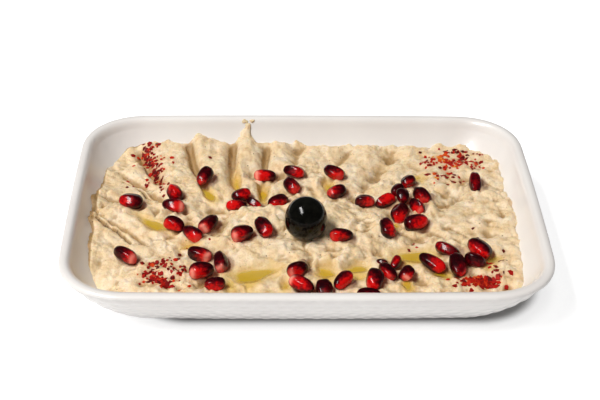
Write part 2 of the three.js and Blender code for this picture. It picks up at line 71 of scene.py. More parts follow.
def ease(start, end, value):
    """0 before start and 1 after end, with a smooth change between them."""
    t = np.clip((value - start) / (end - start), 0, 1)
    return t * t * (3 - 2 * t)


def bell(distance, width):
    return np.exp(-((distance / width) ** 2))


def make_piece(name, points, faces, material, smooth=True):
    """A mesh object from points in millimetres, riding on the dish's body."""
    mesh = bpy.data.meshes.new(name)
    mesh.from_pydata((np.asarray(points, float) * MM).tolist(), [], faces)
    mesh.validate()
    mesh.polygons.foreach_set("use_smooth", [smooth] * len(mesh.polygons))
    mesh.materials.append(material)
    piece = bpy.data.objects.new(name, mesh)
    bpy.context.scene.collection.objects.link(piece)
    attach(piece, BODY)
    print(name, "has", len(mesh.vertices), "points")
    return piece


def paint(piece, name, values):
    """Keeps one number for each point of a piece, for its material to read."""
    layer = piece.data.attributes.new(name, "FLOAT", "POINT")
    layer.data.foreach_set("value", np.asarray(values, dtype=np.float32))


# %% [markdown]
# Cloudy noise is used all through: a grid of random heights, blended smoothly between
# its points. Several of them, each finer and lower than the last, give the uneven
# look of mashed food. The random draws are seeded, so the result is always the same.

# %% Noise
def cloud(x, y, grain, seed):
    """Smooth random heights from -1 to 1, with bumps about one grain wide."""
    heights = np.random.default_rng(seed).uniform(-1, 1, (256, 256))
    column = np.asarray(x, float) / grain + 1000.37
    row = np.asarray(y, float) / grain + 1000.61
    i = np.floor(column).astype(int)
    j = np.floor(row).astype(int)
    u = column - i
    v = row - j
    u = u * u * (3 - 2 * u)
    v = v * v * (3 - 2 * v)
    corner = lambda a, b: heights[(i + a) % 256, (j + b) % 256]
    near = corner(0, 0) * (1 - u) + corner(1, 0) * u
    far = corner(0, 1) * (1 - u) + corner(1, 1) * u
    return near * (1 - v) + far * v


def clouds(x, y, grain, seed, layers=3, fading=0.5):
    total = 0
    for layer in range(layers):
        size = grain / 2**layer
        turn = 0.9 * layer
        along = x * math.cos(turn) - y * math.sin(turn)
        across = x * math.sin(turn) + y * math.cos(turn)
        total = total + fading**layer * cloud(along, across, size, seed + layer)
    return total


def pebbles(x, y, size, seed):
    """Rounded lumps about one size wide, from 0 in the creases to 1 on top."""
    draws = np.random.default_rng(seed).uniform(0, 1, (128, 128, 3))
    column = np.asarray(x, float) / size + 500
    row = np.asarray(y, float) / size + 500
    i = np.floor(column).astype(int)
    j = np.floor(row).astype(int)
    best = np.zeros_like(column)
    for a in (-1, 0, 1):
        for b in (-1, 0, 1):
            across, along, tall = np.moveaxis(draws[(i + a) % 128, (j + b) % 128], -1, 0)
            away = (column - i - a - across) ** 2 + (row - j - b - along) ** 2
            best = np.maximum(best, (0.35 + 0.65 * tall) * (1 - away / (0.45 + 0.5 * tall)))
    return best


print("a cloud at the middle of the dish:", round(float(cloud(0.0, 0.0, 30.0, 1)), 2))

# %% [markdown]
# ## Materials
# Colours are written as sRGB hex values, as on a paint chart, and turned to the linear
# values that Blender's shaders work in. One function adds a node with its settings and
# links and gives one of its outputs, so a material reads as a list of what it is made
# of. Sockets go by name, or by number where that is shorter or names repeat: a Map
# Range takes a value, the two ends it comes from and the two ends it goes to, as 0 to 4,
# and a colour Mix takes its factor as 0 and its colours as 6 and 7.

# %% Material tools
SMOOTH = {"interpolation_type": "SMOOTHSTEP"}
COLOUR_MIX = {"output": 2, "data_type": "RGBA"}


def linear(hex_colour):
    channels = [int(hex_colour[i : i + 2], 16) / 255 for i in (1, 3, 5)]
    curve = [c / 12.92 if c <= 0.04045 else ((c + 0.055) / 1.055) ** 2.4 for c in channels]
    return (*curve, 1.0)


def per_mm(size):
    """The scale at which a texture's features are about size millimetres wide."""
    return 1 / (size * MM)


def add_node(tree, kind, inputs=None, output=0, stops=(), **settings):
    """Adds a node and gives an output. stops are a ramp's places and hex colours."""
    node = tree.nodes.new("ShaderNode" + kind)
    for key, value in settings.items():
        setattr(node, key, value)
    for key, value in (inputs or {}).items():
        if isinstance(value, bpy.types.NodeSocket):
            tree.links.new(value, node.inputs[key])
        else:
            node.inputs[key].default_value = value
    for _ in stops[2:]:
        node.color_ramp.elements.new(0.5)
    for i, (place, colour) in enumerate(stops):
        node.color_ramp.elements[i].position = place
        node.color_ramp.elements[i].color = linear(colour)
    return node.outputs[output] if node.outputs else None


def new_material(name):
    """An empty material, its tree, and the place on the object that patterns follow."""
    material = bpy.data.materials.new(name)
    material.use_nodes = True
    tree = material.node_tree
    tree.nodes.clear()
    return material, tree, add_node(tree, "TexCoord", output="Object")


print("mid grey in linear values:", linear("#808080"))

# %% [markdown]
# ## Camera, light and table
# The dish is seen from the front, from 35 degrees above, through a long lens, so its
# back is barely narrower than its front. A tall soft window of light stands on the
# left, a little in front: it shades the right side of each groove and of each aril.
# The table is white and runs out of the picture on all sides.

# %% Camera
VIEW_ELEVATION = math.radians(35.0)
VIEW_AZIMUTH = math.radians(-1.905)
VIEW_ROLL = math.radians(1.101)
VIEW_DISTANCE = 0.662566
PICTURE_WIDTH_PX = 600
FOCAL_LENGTH_PX = 1388.7
SENSOR_WIDTH_MM = 36.0
SHIFT_PX = (-4.18, 53.57)


def make_camera():
    back = Vector((
        math.sin(VIEW_AZIMUTH) * math.cos(VIEW_ELEVATION),
        -math.cos(VIEW_AZIMUTH) * math.cos(VIEW_ELEVATION),
        math.sin(VIEW_ELEVATION),
    ))
    right = Vector((math.cos(VIEW_AZIMUTH), math.sin(VIEW_AZIMUTH), 0))
    up = back.cross(right)
    rolled_right = right * math.cos(VIEW_ROLL) + up * math.sin(VIEW_ROLL)
    rolled_up = up * math.cos(VIEW_ROLL) - right * math.sin(VIEW_ROLL)
    lens = bpy.data.cameras.new("camera")
    lens.sensor_width = SENSOR_WIDTH_MM
    lens.lens = FOCAL_LENGTH_PX * SENSOR_WIDTH_MM / PICTURE_WIDTH_PX
    lens.shift_x = SHIFT_PX[0] / PICTURE_WIDTH_PX
    lens.shift_y = SHIFT_PX[1] / PICTURE_WIDTH_PX
    camera = bpy.data.objects.new("camera", lens)
    axes = Matrix((rolled_right, rolled_up, back)).transposed().to_4x4()
    camera.matrix_world = Matrix.Translation(back * VIEW_DISTANCE) @ axes
    bpy.context.scene.collection.objects.link(camera)
    bpy.context.scene.camera = camera
    print("camera stands at", [round(c, 3) for c in camera.location])


make_camera()


# %% Light and table
def aim_light(name, direction, distance, size, power, colour):
    """A rectangle of light that looks at the dish from a direction."""
    lamp = bpy.data.lights.new(name, "AREA")
    lamp.shape = "RECTANGLE"
    lamp.size, lamp.size_y = size
    lamp.energy = power
    lamp.color = linear(colour)[:3]
    light = bpy.data.objects.new(name, lamp)
    towards = Vector(direction).normalized()
    across = Vector((0, 1, 0)).cross(towards).normalized()
    axes = Matrix((across, towards.cross(across), towards)).transposed().to_4x4()
    light.matrix_world = Matrix.Translation(towards * distance) @ axes
    bpy.context.scene.collection.objects.link(light)


def white_table_painted_shadow():
    """White card that glows with painted light to stay white, but for a painted shadow round the
    dish's foot.
    """
    material, tree, place = new_material("white_table_painted_shadow")
    grain = add_node(tree, "TexNoise", {"Vector": place, "Scale": per_mm(40), "Detail": 2})
    tone = add_node(tree, "ValToRGB", {"Fac": grain}, stops=[(0.3, "#c4c4c4"), (0.7, "#bfbfbf")])
    # Painted shadow: the glow fades in a rounded box round the foot, set to the right, where the
    # dish's shadow falls; the camera sees the full glow, while other rays get only part of it
    shade_middle = (12.5 * MM, 0, 0)
    shade_half = (64.5 * MM, 24 * MM, 0)
    shade_radius = 27 * MM
    shifted = add_node(tree, "VectorMath", {0: place, 1: shade_middle}, operation="SUBTRACT")
    mirrored = add_node(tree, "VectorMath", {0: shifted}, operation="ABSOLUTE")
    beyond = add_node(tree, "VectorMath", {0: mirrored, 1: shade_half}, operation="SUBTRACT")
    outside = add_node(tree, "VectorMath", {0: beyond, 1: (0, 0, 0)}, operation="MAXIMUM")
    reach = add_node(tree, "VectorMath", {0: outside}, "Value", operation="LENGTH")
    away = add_node(tree, "Math", {0: reach, 1: shade_radius}, operation="SUBTRACT")
    near_glow = add_node(tree, "MapRange", {0: away, 1: -1 * MM, 2: 6 * MM, 4: 0.68}, **SMOOTH)
    far_glow = add_node(tree, "MapRange", {0: away, 1: 6 * MM, 2: 14 * MM, 4: 0.12}, **SMOOTH)
    seen = add_node(tree, "LightPath", output="Is Camera Ray")
    share = add_node(tree, "MapRange", {0: seen, 3: 0.55}, **SMOOTH)
    both = add_node(tree, "Math", {0: near_glow, 1: far_glow}, operation="ADD")
    glow = add_node(tree, "Math", {0: both, 1: share}, operation="MULTIPLY")
    surface = {
        "Base Color": tone,
        "Roughness": 0.9,
        "Specular IOR Level": 0.1,
        "Emission Color": linear("#ffffff"),
        "Emission Strength": glow,
    }
    shader = add_node(tree, "BsdfPrincipled", surface)
    add_node(tree, "OutputMaterial", {"Surface": shader})
    return material


TABLE_HALF = 6.0


def make_table():
    half = TABLE_HALF
    points = [(-half, -half, 0), (half, -half, 0), (half, half, 0), (-half, half, 0)]
    mesh = bpy.data.meshes.new("table")
    mesh.from_pydata(points, [], [(0, 1, 2, 3)])
    mesh.materials.append(white_table_painted_shadow())
    table = bpy.data.objects.new("table", mesh)
    bpy.context.scene.collection.objects.link(table)
    table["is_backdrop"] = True


aim_light("window_left", (-0.44, -0.29, 0.85), 1.7, (0.3, 1.1), 30, "#fffefb")
make_table()
room = bpy.data.worlds.new("room")
room.use_nodes = True
glossy = add_node(room.node_tree, "LightPath", output="Is Glossy Ray")
seen = add_node(room.node_tree, "LightPath", output="Is Camera Ray")
lighting = add_node(room.node_tree, "MapRange", {0: glossy, 3: 0.2, 4: 0.05}, **SMOOTH)
backdrop = add_node(room.node_tree, "Math", {0: lighting, 1: seen}, operation="MAXIMUM")
room_light = room.node_tree.nodes["Background"]
room_light.inputs["Color"].default_value = linear("#f6f6f6")
room.node_tree.links.new(backdrop, room_light.inputs["Strength"])
bpy.context.scene.world = room
bpy.context.scene.view_settings.view_transform = "Standard"
print("lights:", sorted(light.name for light in bpy.data.lights))

# %% [markdown]
# ## The dish
# The dish is slip-cast porcelain: a rounded rectangle whose walls flare out from a
# smaller base, with a soft rolled rim and a basket pattern pressed round the outside.
# Its outline is a rounded rectangle at every height, so stacking outlines gives both
# walls. The basket pattern is real relief: each band is a row of rounded strands that
# pass over and under, so every other row is half a strand out of step.

# %% Sizes of the dish
DISH_LENGTH = 217.4
DISH_WIDTH = 156.4
DISH_HEIGHT = 32.0
CORNER_RADIUS = 31.5
CORNER_POWER = 2.3
CORNER_TAPER = 0.75
SIDE_BOW = 1.2
BOW_SPREAD = 4
BASE_INSET = 26.3
FLARE = 1.46
WALL = 4.5
FRONT_SWELL = 1.7
FLOOR = 5.0
LIP_FOOT = 29.6
RIM_ROLL = 1.6
LIP_STEP = 0.6
CORNER_STEPS = 42
LONG_STEPS = 132
SHORT_STEPS = 80


def wall_inset(z):
    """How far the outer wall lies inside the rim at a height."""
    return BASE_INSET * (1 - z / DISH_HEIGHT) ** FLARE


def thicken_front(loop, share):
    """The front wall is a little thicker at its rim than the others."""
    loop[:, 1] += FRONT_SWELL * share * ease(-40, -72, loop[:, 1])
    return loop


def dish_outline(inset, thickness, z):
    """The dish's outline drawn in by an inset, at a height."""
    half_length = DISH_LENGTH / 2 - inset - thickness
    half_width = DISH_WIDTH / 2 - inset - thickness
    radius = CORNER_RADIUS - CORNER_TAPER * inset - thickness
    flat_x = half_length - radius
    flat_y = half_width - radius
    angle = np.linspace(0, math.pi / 2, CORNER_STEPS + 1)
    c = np.clip(np.cos(angle), 0, 1)
    s = np.clip(np.sin(angle), 0, 1)
    reach = radius * (c**CORNER_POWER + s**CORNER_POWER) ** (-1 / CORNER_POWER)
    arc = np.stack([flat_x + c * reach, flat_y + s * reach], 1)
    along = 1 - 2 * np.arange(1, LONG_STEPS) / LONG_STEPS
    back = np.stack([flat_x * along, np.full(len(along), half_width)], 1)
    along = 1 - 2 * np.arange(1, SHORT_STEPS) / SHORT_STEPS
    side = np.stack([np.full(len(along), -half_length), flat_y * along], 1)
    half = np.concatenate([arc, back, (arc * [-1, 1])[::-1], side])
    loop = np.concatenate([half, -half])
    x, y = loop.T
    bow_x = (1 - (y / half_width) ** 2) * (np.abs(x) / half_length) ** BOW_SPREAD
    bow_y = (1 - (x / half_length) ** 2) * (np.abs(y) / half_width) ** BOW_SPREAD
    x = x * (1 + SIDE_BOW * (bow_x - 1) / half_length)
    y = y * (1 + SIDE_BOW * (bow_y - 1) / half_width)
    return np.stack([x, y, np.full(len(x), z)], 1)


def loft(loops):
    """Points and faces of a skin through loops of equal length, with flat ends."""
    size = len(loops[0])
    faces = []
    for row in range(len(loops) - 1):
        for i in range(size):
            j = (i + 1) % size
            a = row * size
            b = a + size
            faces.append((a + i, a + j, b + j, b + i))
    last = (len(loops) - 1) * size
    faces.append(tuple(range(size))[::-1])
    faces.append(tuple(range(last, last + size)))
    return np.concatenate(loops), faces


print("dish in mm:", DISH_LENGTH, "by", DISH_WIDTH, "by", DISH_HEIGHT)

# %% Basket pattern
STRAND_LENGTH = 8.1
BAND_HEIGHT = 6.3
WEAVE_DEPTH = 0.62
rim_line = dish_outline(0, 0, DISH_HEIGHT)
steps_round = np.linalg.norm(rim_line - np.roll(rim_line, 1, axis=0), axis=1)
round_length = np.cumsum(steps_round)
strand_count = 2 * round(round_length[-1] / STRAND_LENGTH / 2)
round_turn = 2 * math.pi * strand_count * round_length / round_length[-1]
print("strands round the dish:", strand_count)


def weave_relief(down):
    """Relief of the pattern at a distance down the wall, all round the dish."""
    band = down / BAND_HEIGHT
    row = math.floor(band)
    within = band - row
    strand = math.sin(math.pi * within) ** 0.4
    over = np.clip(0.5 + 0.7 * np.cos(round_turn + math.pi * row), 0, 1)
    return WEAVE_DEPTH * (strand * (0.2 + 0.8 * over) - 0.6)


# %% Dish mesh
def make_dish(material):
    loops = [
        dish_outline(BASE_INSET + 1.2, 0, 0),
        dish_outline(BASE_INSET + 0.35, 0, 0.35),
        dish_outline(wall_inset(1.2) + LIP_STEP, 0, 1.2),
    ]
    heights = np.linspace(1.2, LIP_FOOT, 90)
    slope = np.hypot(np.diff(heights), np.diff(wall_inset(heights)))
    down = np.concatenate([[0], np.cumsum(slope)])
    down = down[-1] - down
    for z, distance in zip(heights[1:], down[1:]):
        loop = dish_outline(wall_inset(z) + LIP_STEP, 0, z)
        inward = loop[:, :2] / np.linalg.norm(loop[:, :2], axis=1, keepdims=True)
        fade = ease(1.2, 3.0, z) * ease(LIP_FOOT, LIP_FOOT - 0.5, z)
        loop[:, :2] += inward * (weave_relief(distance) * fade)[:, None]
        loops.append(loop)
    rim_foot = DISH_HEIGHT - RIM_ROLL
    loops.append(dish_outline(0.12, 0, rim_foot - 0.4))
    for angle in np.linspace(0, math.pi / 2, 9)[:-1]:
        reach = WALL / 2 * (1 - math.cos(angle) ** 0.8)
        loops.append(dish_outline(0, reach, rim_foot + RIM_ROLL * math.sin(angle) ** 0.8))
    slope = 0.486
    inner_foot = 27.5
    side = WALL + wall_inset(inner_foot)
    bend = [
        (WALL / 2, DISH_HEIGHT),
        (4.4, DISH_HEIGHT),
        (side - slope * 1.6, inner_foot + 1.6),
        (side, inner_foot),
    ]
    for t in np.linspace(0, 1, 12):
        shares = ((1 - t) ** 3, 3 * t * (1 - t) ** 2, 3 * t**2 * (1 - t), t**3)
        reach = sum(share * point[0] for share, point in zip(shares, bend))
        height = sum(share * point[1] for share, point in zip(shares, bend))
        loops.append(thicken_front(dish_outline(0, reach, height), ease(0, 0.7, t)))
    for z in np.linspace(inner_foot - 0.8, FLOOR + 2, 22):
        loops.append(thicken_front(dish_outline(wall_inset(z), WALL, z), ease(20, 27, z)))
    for drop in (1.2, 0.6, 0.2, 0.0):
        loops.append(dish_outline(wall_inset(FLOOR + 2) + 2.4 - drop, WALL, FLOOR + drop))
    points, faces = loft(loops)
    dish = make_piece("porcelain_dish", points, faces, material)
    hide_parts("dish")


# %% [markdown]
# Porcelain is a hard white body under a clear glaze. The glaze gives a mirror-like
# skin of its own, which a coat layer shows, over a white that is a little warm and
# never quite even. The glaze also lies in very shallow waves.

# %% Glazed porcelain
def glazed_porcelain():
    material, tree, place = new_material("glazed_porcelain")
    uneven = add_node(tree, "TexNoise", {"Vector": place, "Scale": per_mm(30), "Detail": 2})
    tone = add_node(tree, "ValToRGB", {"Fac": uneven}, stops=[(0.35, "#ece7e4"), (0.65, "#f0ece9")])
    waves = add_node(tree, "TexNoise", {"Vector": place, "Scale": per_mm(14), "Detail": 1})
    bump = add_node(tree, "Bump", {"Strength": 0.12, "Distance": 0.0004, "Height": waves})
    surface = {
        "Base Color": tone,
        "Roughness": 0.32,
        "IOR": 1.5,
        "Coat Weight": 0.6,
        "Coat Roughness": 0.06,
        "Coat IOR": 1.5,
        "Normal": bump,
    }
    shader = add_node(tree, "BsdfPrincipled", surface)
    add_node(tree, "OutputMaterial", {"Surface": shader})
    return material


make_dish(glazed_porcelain())

# %% [markdown]
# ## The dip
# The dip is thick and keeps the marks of the spoon: grooves run in from the back and
# left walls, a low mound holds the olive, and a ring of low ground lies round it. One
# function gives the height of the surface anywhere, so every garnish can be laid on it.
# The wide forms come first, then lumps, then the grain of mashed aubergine.

# %% Wide forms
DIP_LEVEL = 20.4
FRONT_FALL = (1.6, -15, -60)
SWELLS = [
    # x, y, spread along x, spread along y, rise
    (-44, 60, 36, 34, 2.7),
    (-95, 2, 20, 24, 1.9),
    (-97, 54, 14, 18, -3.6),
    (92, 5, 24, 30, 1.0),
    (-97, -58, 16, 20, -2.4),
    (97, -58, 16, 20, -1.2),
    (38.5, -52, 5, 5, 1.4),
    (-51.5, 70, 4.5, 10, 4.4),
    (-28.5, 68, 5, 15, 2.8),
    (-12, 68, 5, 14, 1.2),
]
STROKES = [
    # start, end, bow, depth, width of the left side, width of the right side, fall
    ((-57, 70), (-49.5, 33), -1, 5.4, 2.6, 2.0, 1.2),
    ((-33.5, 71), (-32, 24), -2, 5.4, 2.8, 2.1, 1.2),
    ((-16.5, 70), (-19, 14), -1.2, 4.4, 2.4, 1.9, 1.0),
    ((0, 68), (-5, 46), 0, 1.8, 3.0, 2.0, 0.8),
    ((25, 66), (13, 42), 0, 2.2, 3.5, 3.0, 0.8),
    ((48, 66), (27, 25), 1, 3.6, 3.6, 5.0, 1.0),
    ((62, 60), (51, 40), 0, 1.4, 3.0, 4.0, 0.5),
    ((80, 30), (62, 4), 0, 1.4, 4.0, 5.0, 0.3),
    ((-85, 67), (-66, 24), 1, 3.6, 3.4, 2.0, 1.0),
    ((-94, 46), (-64, 9), 2, 3.4, 2.4, 2.6, 1.0),
    ((-99, 1), (-72, -22), 1.8, 2.2, 1.3, 1.3, 0.6),
    ((-98, 16), (-87, 13), 0, 1.8, 1.3, 1.3, 0.3),
]


def beside_line(start, end, bow, x, y):
    """How far along a bowed line a place lies, from 0 to 1, and how far beside it."""
    run_x = end[0] - start[0]
    run_y = end[1] - start[1]
    run = math.hypot(run_x, run_y)
    along = ((x - start[0]) * run_x + (y - start[1]) * run_y) / run**2
    straight = ((y - start[1]) * run_x - (x - start[0]) * run_y) / run
    return along, straight - bow * 4 * along * (1 - along)


def stroke_depth(stroke, x, y):
    start, end, bow, depth, left, right, fall = stroke
    along, across = beside_line(start, end, bow, x, y)
    fade = ease(-0.02, 0.22, along) * (1 - ease(0.7, 1.12, along))
    sharp = bell(across, np.where(across < 0, left, right))
    broad = bell(across, np.where(across < 0, 9, 3))
    return fade * (depth * sharp + fall * broad)


def ring_depth(x, y):
    """The low ground round the mound, deepest behind and in front."""
    ring_x = (x + 1) / 50
    ring_y = (y + 10) / 32
    ring = np.hypot(ring_x, ring_y)
    bearing = ring_y / np.maximum(ring, 1e-6)
    depth = 1 + 1.4 * ease(-0.1, 0.7, bearing) + ease(0.1, 0.8, -bearing)
    return depth * bell(ring - 1, 0.24)


def mound_share(x, y):
    """How far the mound has a say at a place, and the height of its top there."""
    across = (x + 1) / 39
    depth = (y + 16) / 23.5
    round_share = (np.abs(across) ** 2.6 + np.abs(depth) ** 2.6) ** (1 / 2.6)
    ragged = 0.05 * np.sin(0.31 * x + 0.8) + 0.03 * np.sin(0.6 * x + 0.2 * y)
    edge = 0.1 + 0.32 * ease(-0.35, 0.35, -depth)
    share = 1 - ease(1 - 0.9 * edge, 1 + edge, round_share + ragged)
    top = 23 + 0.065 * np.minimum(y + 6, 0) + 0.6 * bell(depth - 0.75, 0.25)
    return share, top


def broad_height(x, y):
    x = np.asarray(x, float)
    y = np.asarray(y, float)
    fall, fall_from, fall_to = FRONT_FALL
    z = DIP_LEVEL - fall * ease(-fall_from, -fall_to, -y)
    for centre_x, centre_y, spread_x, spread_y, rise in SWELLS:
        z = z + rise * bell(x - centre_x, spread_x) * bell(y - centre_y, spread_y)
    for stroke in STROKES:
        z = z - stroke_depth(stroke, x, y)
    z = z - ring_depth(x, y)
    share, top = mound_share(x, y)
    z = z + share * (top - z)
    z = z + 0.3 * np.sin(0.33 * x + 0.1 * y + 1) * np.sin(-0.12 * x + 0.27 * y)
    z = z + 0.2 * np.sin(0.19 * x - 0.36 * y + 2)
    return z + 0.14 * np.sin(0.57 * x + 0.41 * y) * np.sin(-0.29 * x + 0.46 * y + 0.5)


print("dip height in the middle:", round(float(broad_height(0, -30)), 2), "mm")

# %% [markdown]
# Oil gathers in the hollows. Each pool has an uneven oval shore and a level surface,
# and the dip is scooped out under it, so that the oil is deepest in its middle. The
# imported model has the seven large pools; the small ones are thin films that only
# change the look.

# %% Pools of oil
POOLS = [
    # x, y, half length, half width, turn in degrees, depth
    (-70, -5.5, 8.5, 3.4, -38, 1.5),
    (-45.5, 21, 6.5, 2.4, -62, 1.4),
    (-19.5, 27.5, 6, 2.2, 92, 1.3),
    (-24, -42.5, 10.5, 5, 18, 1.6),
    (8.5, -40.5, 4.6, 4.2, 0, 1.5),
    (22.5, -38.5, 5.6, 3, 8, 1.4),
    (50, -29.3, 10, 4.6, 2, 1.6),
]
FILMS = [
    (12, 30, 2.4, 4.6, 0, 0.9),
    (-32.5, 37, 1.9, 7, 2, 0.9),
    (44, -51, 2.2, 4.2, 8, 1.0),
    (60, -43.5, 4.0, 2.2, -20, 0.9),
    (83.5, -32.5, 4.2, 3.0, 20, 0.9),
    (56, 36, 2.6, 1.8, 30, 0.7),
    (42, -4.5, 2.4, 2.0, 0, 0.8),
    (-53, -21.5, 3.4, 2.6, 20, 0.8),
    (-34, -50, 2.6, 3.2, 10, 0.9),
    (-9.5, -50, 2.2, 3.6, 0, 0.9),
]
SOAKED = [
    # x, y, half length, half width, turn in degrees of a stain, and how strong it is
    (-25.5, -46.5, 8.5, 9, 0, 1.0),
    (-15, -39, 6, 7, 0, 0.55),
    (-22, -56, 10, 4, 0, 0.45),
    (9.3, -43, 5.6, 8.5, 0, 1.0),
    (21.7, -42.5, 8, 6.5, 0, 0.9),
    (47.6, -31.5, 14, 7, 0, 0.9),
    (56, -38, 6, 4, -40, 1.0),
    (62, -44, 4.5, 5, 0, 0.9),
    (44, -53, 4.2, 7, 0, 0.9),
    (81.5, -36, 6, 6.5, 0, 0.8),
    (-71, -5.5, 9, 4.5, -38, 0.9),
    (-46.5, 23, 8, 3.6, -62, 0.9),
    (-33, 38, 2.8, 10, 2, 0.8),
    (-19.8, 26.5, 3.2, 9, 2, 0.9),
    (12.5, 29, 4, 6, 0, 0.9),
    (57, 34.5, 5, 4, 30, 0.7),
    (41, -7, 3.4, 4.5, 0, 0.8),
    (-53, -20.5, 5, 4.5, 0, 0.6),
    (-34.5, -52.5, 4.5, 5.5, 0, 0.9),
    (-9.5, -52.5, 3.6, 6, 0, 0.7),
]

# a hollow that one aril has pressed: x, y, half length, half width, turn and level
PRESSED = (-18.7, 39.2, 7.0, 5.6, 0, 17.2)


def shore_swing(pool, angle):
    return 1 + 0.1 * np.sin(3 * angle + pool[0]) + 0.06 * np.sin(5 * angle + pool[1])


def pool_share(pool, x, y):
    """0 in the middle of a pool, 1 on its shore, and more outside."""
    centre_x, centre_y, long_half, short_half, turn, _ = pool
    c = math.cos(math.radians(turn))
    s = math.sin(math.radians(turn))
    u = ((x - centre_x) * c + (y - centre_y) * s) / long_half
    v = (-(x - centre_x) * s + (y - centre_y) * c) / short_half
    return np.hypot(u, v) / shore_swing(pool, np.arctan2(v, u))


def turned(x, y, u, v, turn):
    """The place u along and v across from x, y, when turned by an angle in degrees."""
    c = math.cos(math.radians(turn))
    s = math.sin(math.radians(turn))
    return x + u * c - v * s, y + u * s + v * c


def shore_points(pool, scale, count=48):
    centre_x, centre_y, long_half, short_half, turn, _ = pool
    angle = np.linspace(0, 2 * math.pi, count, endpoint=False)
    reach = scale * shore_swing(pool, angle)
    u = long_half * reach * np.cos(angle)
    v = short_half * reach * np.sin(angle)
    return turned(centre_x, centre_y, u, v, turn)


def pool_level(pool):
    return float(np.min(broad_height(*shore_points(pool, 1.05, 14)))) - 0.1


levels = {pool: pool_level(pool) for pool in POOLS + FILMS}


def scooped_height(x, y):
    """The dip's height with a hollow scooped under each pool."""
    z = broad_height(x, y)
    for pool, level in levels.items():
        share = pool_share(pool, x, y)
        depth = pool[5]
        bowl = level - depth * np.clip(1 - share**2, -0.6, 1)
        near = 1 - ease(1.0, 1.45, share)
        z = z + near * (np.minimum(bowl, z) - z)
    beyond = np.clip(pool_share(PRESSED, x, y) - 1, 0, None)
    return np.minimum(z, PRESSED[5] + 4.5 * beyond)


print("thin films of oil:", len(FILMS), "and stains:", len(SOAKED))

# %% [markdown]
# The grain of the dip changes from place to place. Where the spoon has pulled it, at
# the back left, it is smooth with fine streaks; in the middle and at the front it is
# lumpy, as mashed aubergine is. So the grain is a sum of noises, each with its own
# share of the surface.

# %% Fine forms
CRACKS = [
    # start, end, bow, depth, width
    ((-88.5, 35.5), (-72.5, 14.5), 1.0, 2.4, 0.75),
    ((-97.5, -4), (-79, -21.5), 1.6, 2.8, 0.7),
    ((-97.5, 4), (-97, -5), 0.3, 1.0, 0.7),
    ((-91, 12.5), (-86, 13), 0.2, 2.0, 0.7),
    ((-82, 55), (-70, 30), 0.8, 1.6, 0.9),
    ((-93, -15), (-85, -28), 0.5, 0.6, 0.8),
    ((66, -6), (78, -20), 0.6, 0.7, 0.8),
    ((-12, -30), (-30, -33), 0.6, 0.5, 0.8),
]


def crack_depth(x, y):
    depth = 0
    for start, end, bow, deep, width in CRACKS:
        along, across = beside_line(start, end, bow, x, y)
        across = across - 0.5 * cloud(x, y, 2.5, 83)
        inside = ease(-0.05, 0.1, along) * (1 - ease(0.85, 1.05, along))
        depth = depth + inside * deep * bell(across, width)
    return depth


def smooth_share(x, y):
    """How far the surface was drawn smooth by the spoon, from 0 to 0.85."""
    back = bell(x + 42, 36) * bell(y - 50, 26) + 0.45 * bell(y - 62, 10)
    left = bell(x + 90, 13) * bell(y + 35, 28)
    mound = 0.55 * bell(x + 22, 16) * bell(y + 20, 12)
    return np.clip(back + left + mound, 0, 0.85)


def grain_height(x, y):
    drawn = smooth_share(x, y)
    rough = 1 - drawn
    bent_x = x + 1.8 * cloud(x, y, 5.5, 5) + 0.5 * cloud(x, y, 2.2, 7)
    bent_y = y + 1.8 * cloud(x, y, 5.5, 6) + 0.5 * cloud(x, y, 2.2, 8)
    patch = 0.75 + 0.5 * cloud(x, y, 13, 9)
    swell = clouds(x, y, 7.5, 11, 2, 0.6)
    knobs = pebbles(bent_x, bent_y, 4.4, 21) - 0.45
    crumbs = pebbles(bent_x, bent_y, 2.1, 22) - 0.45
    ridges = 0.5 - np.abs(cloud(bent_x, bent_y * 0.75, 3.6, 37))
    pits = np.minimum(cloud(bent_x, bent_y, 2.4, 51) + 0.55, 0)
    z = rough * patch * (2.2 * swell + 2.2 * knobs + 1.0 * crumbs + 1.1 * ridges + 2.1 * pits)
    streaks = cloud(bent_x * 0.9, bent_y * 0.2, 1.5, 67)
    return z + drawn * (0.45 * swell + 0.35 * streaks + 0.6 * crumbs)


# the middle and radius of the round corners that the dip fills
DIP_CORNER_MIDDLE = (76, 45.5)
DIP_CORNER_RADIUS = 22.8


def wall_distance(x, y):
    """How far a place on the dip lies from the dish's inner wall."""
    over_x = np.maximum(np.abs(x) - DIP_CORNER_MIDDLE[0], 0)
    over_y = np.maximum(np.abs(y) - DIP_CORNER_MIDDLE[1], 0)
    return DIP_CORNER_RADIUS - np.hypot(over_x, over_y)


def edge_height(x, y):
    """The dip sinks unevenly beside the wall, and clings to it at the left."""
    d = wall_distance(x, y) + 0.8 * cloud(x, y, 3.0, 91)
    uneven = 0.75 + 0.55 * clouds(x, y, 6.0, 92, 2)
    left = ease(-60, -90, x)
    sunk = 1.5 * (1 - left) * (1 - ease(-0.5, 2.6, d))
    raised = 0.9 * left * bell(d - 2.0, 2.2)
    corner = 6.5 * bell(np.hypot(x + 97, y + 56), 11)
    return uneven * (raised - sunk) - corner


def dip_height(x, y):
    z = scooped_height(x, y) + edge_height(x, y)
    calm = np.ones_like(z)
    for pool in levels:
        calm = np.minimum(calm, ease(0.95, 2.0, pool_share(pool, x, y)))
    return z + grain_height(x, y) * (0.12 + 0.88 * calm) - crack_depth(x, y)


print("cracks:", len(CRACKS))

# %% Dip block
GRID = 0.56
REACH_INTO_WALL = 0.35


def closed_block(name, points, faces):
    mesh = bpy.data.meshes.new(name)
    mesh.from_pydata(np.asarray(points).tolist(), [], faces)
    block = bpy.data.objects.new(name, mesh)
    bpy.context.scene.collection.objects.link(block)
    return block


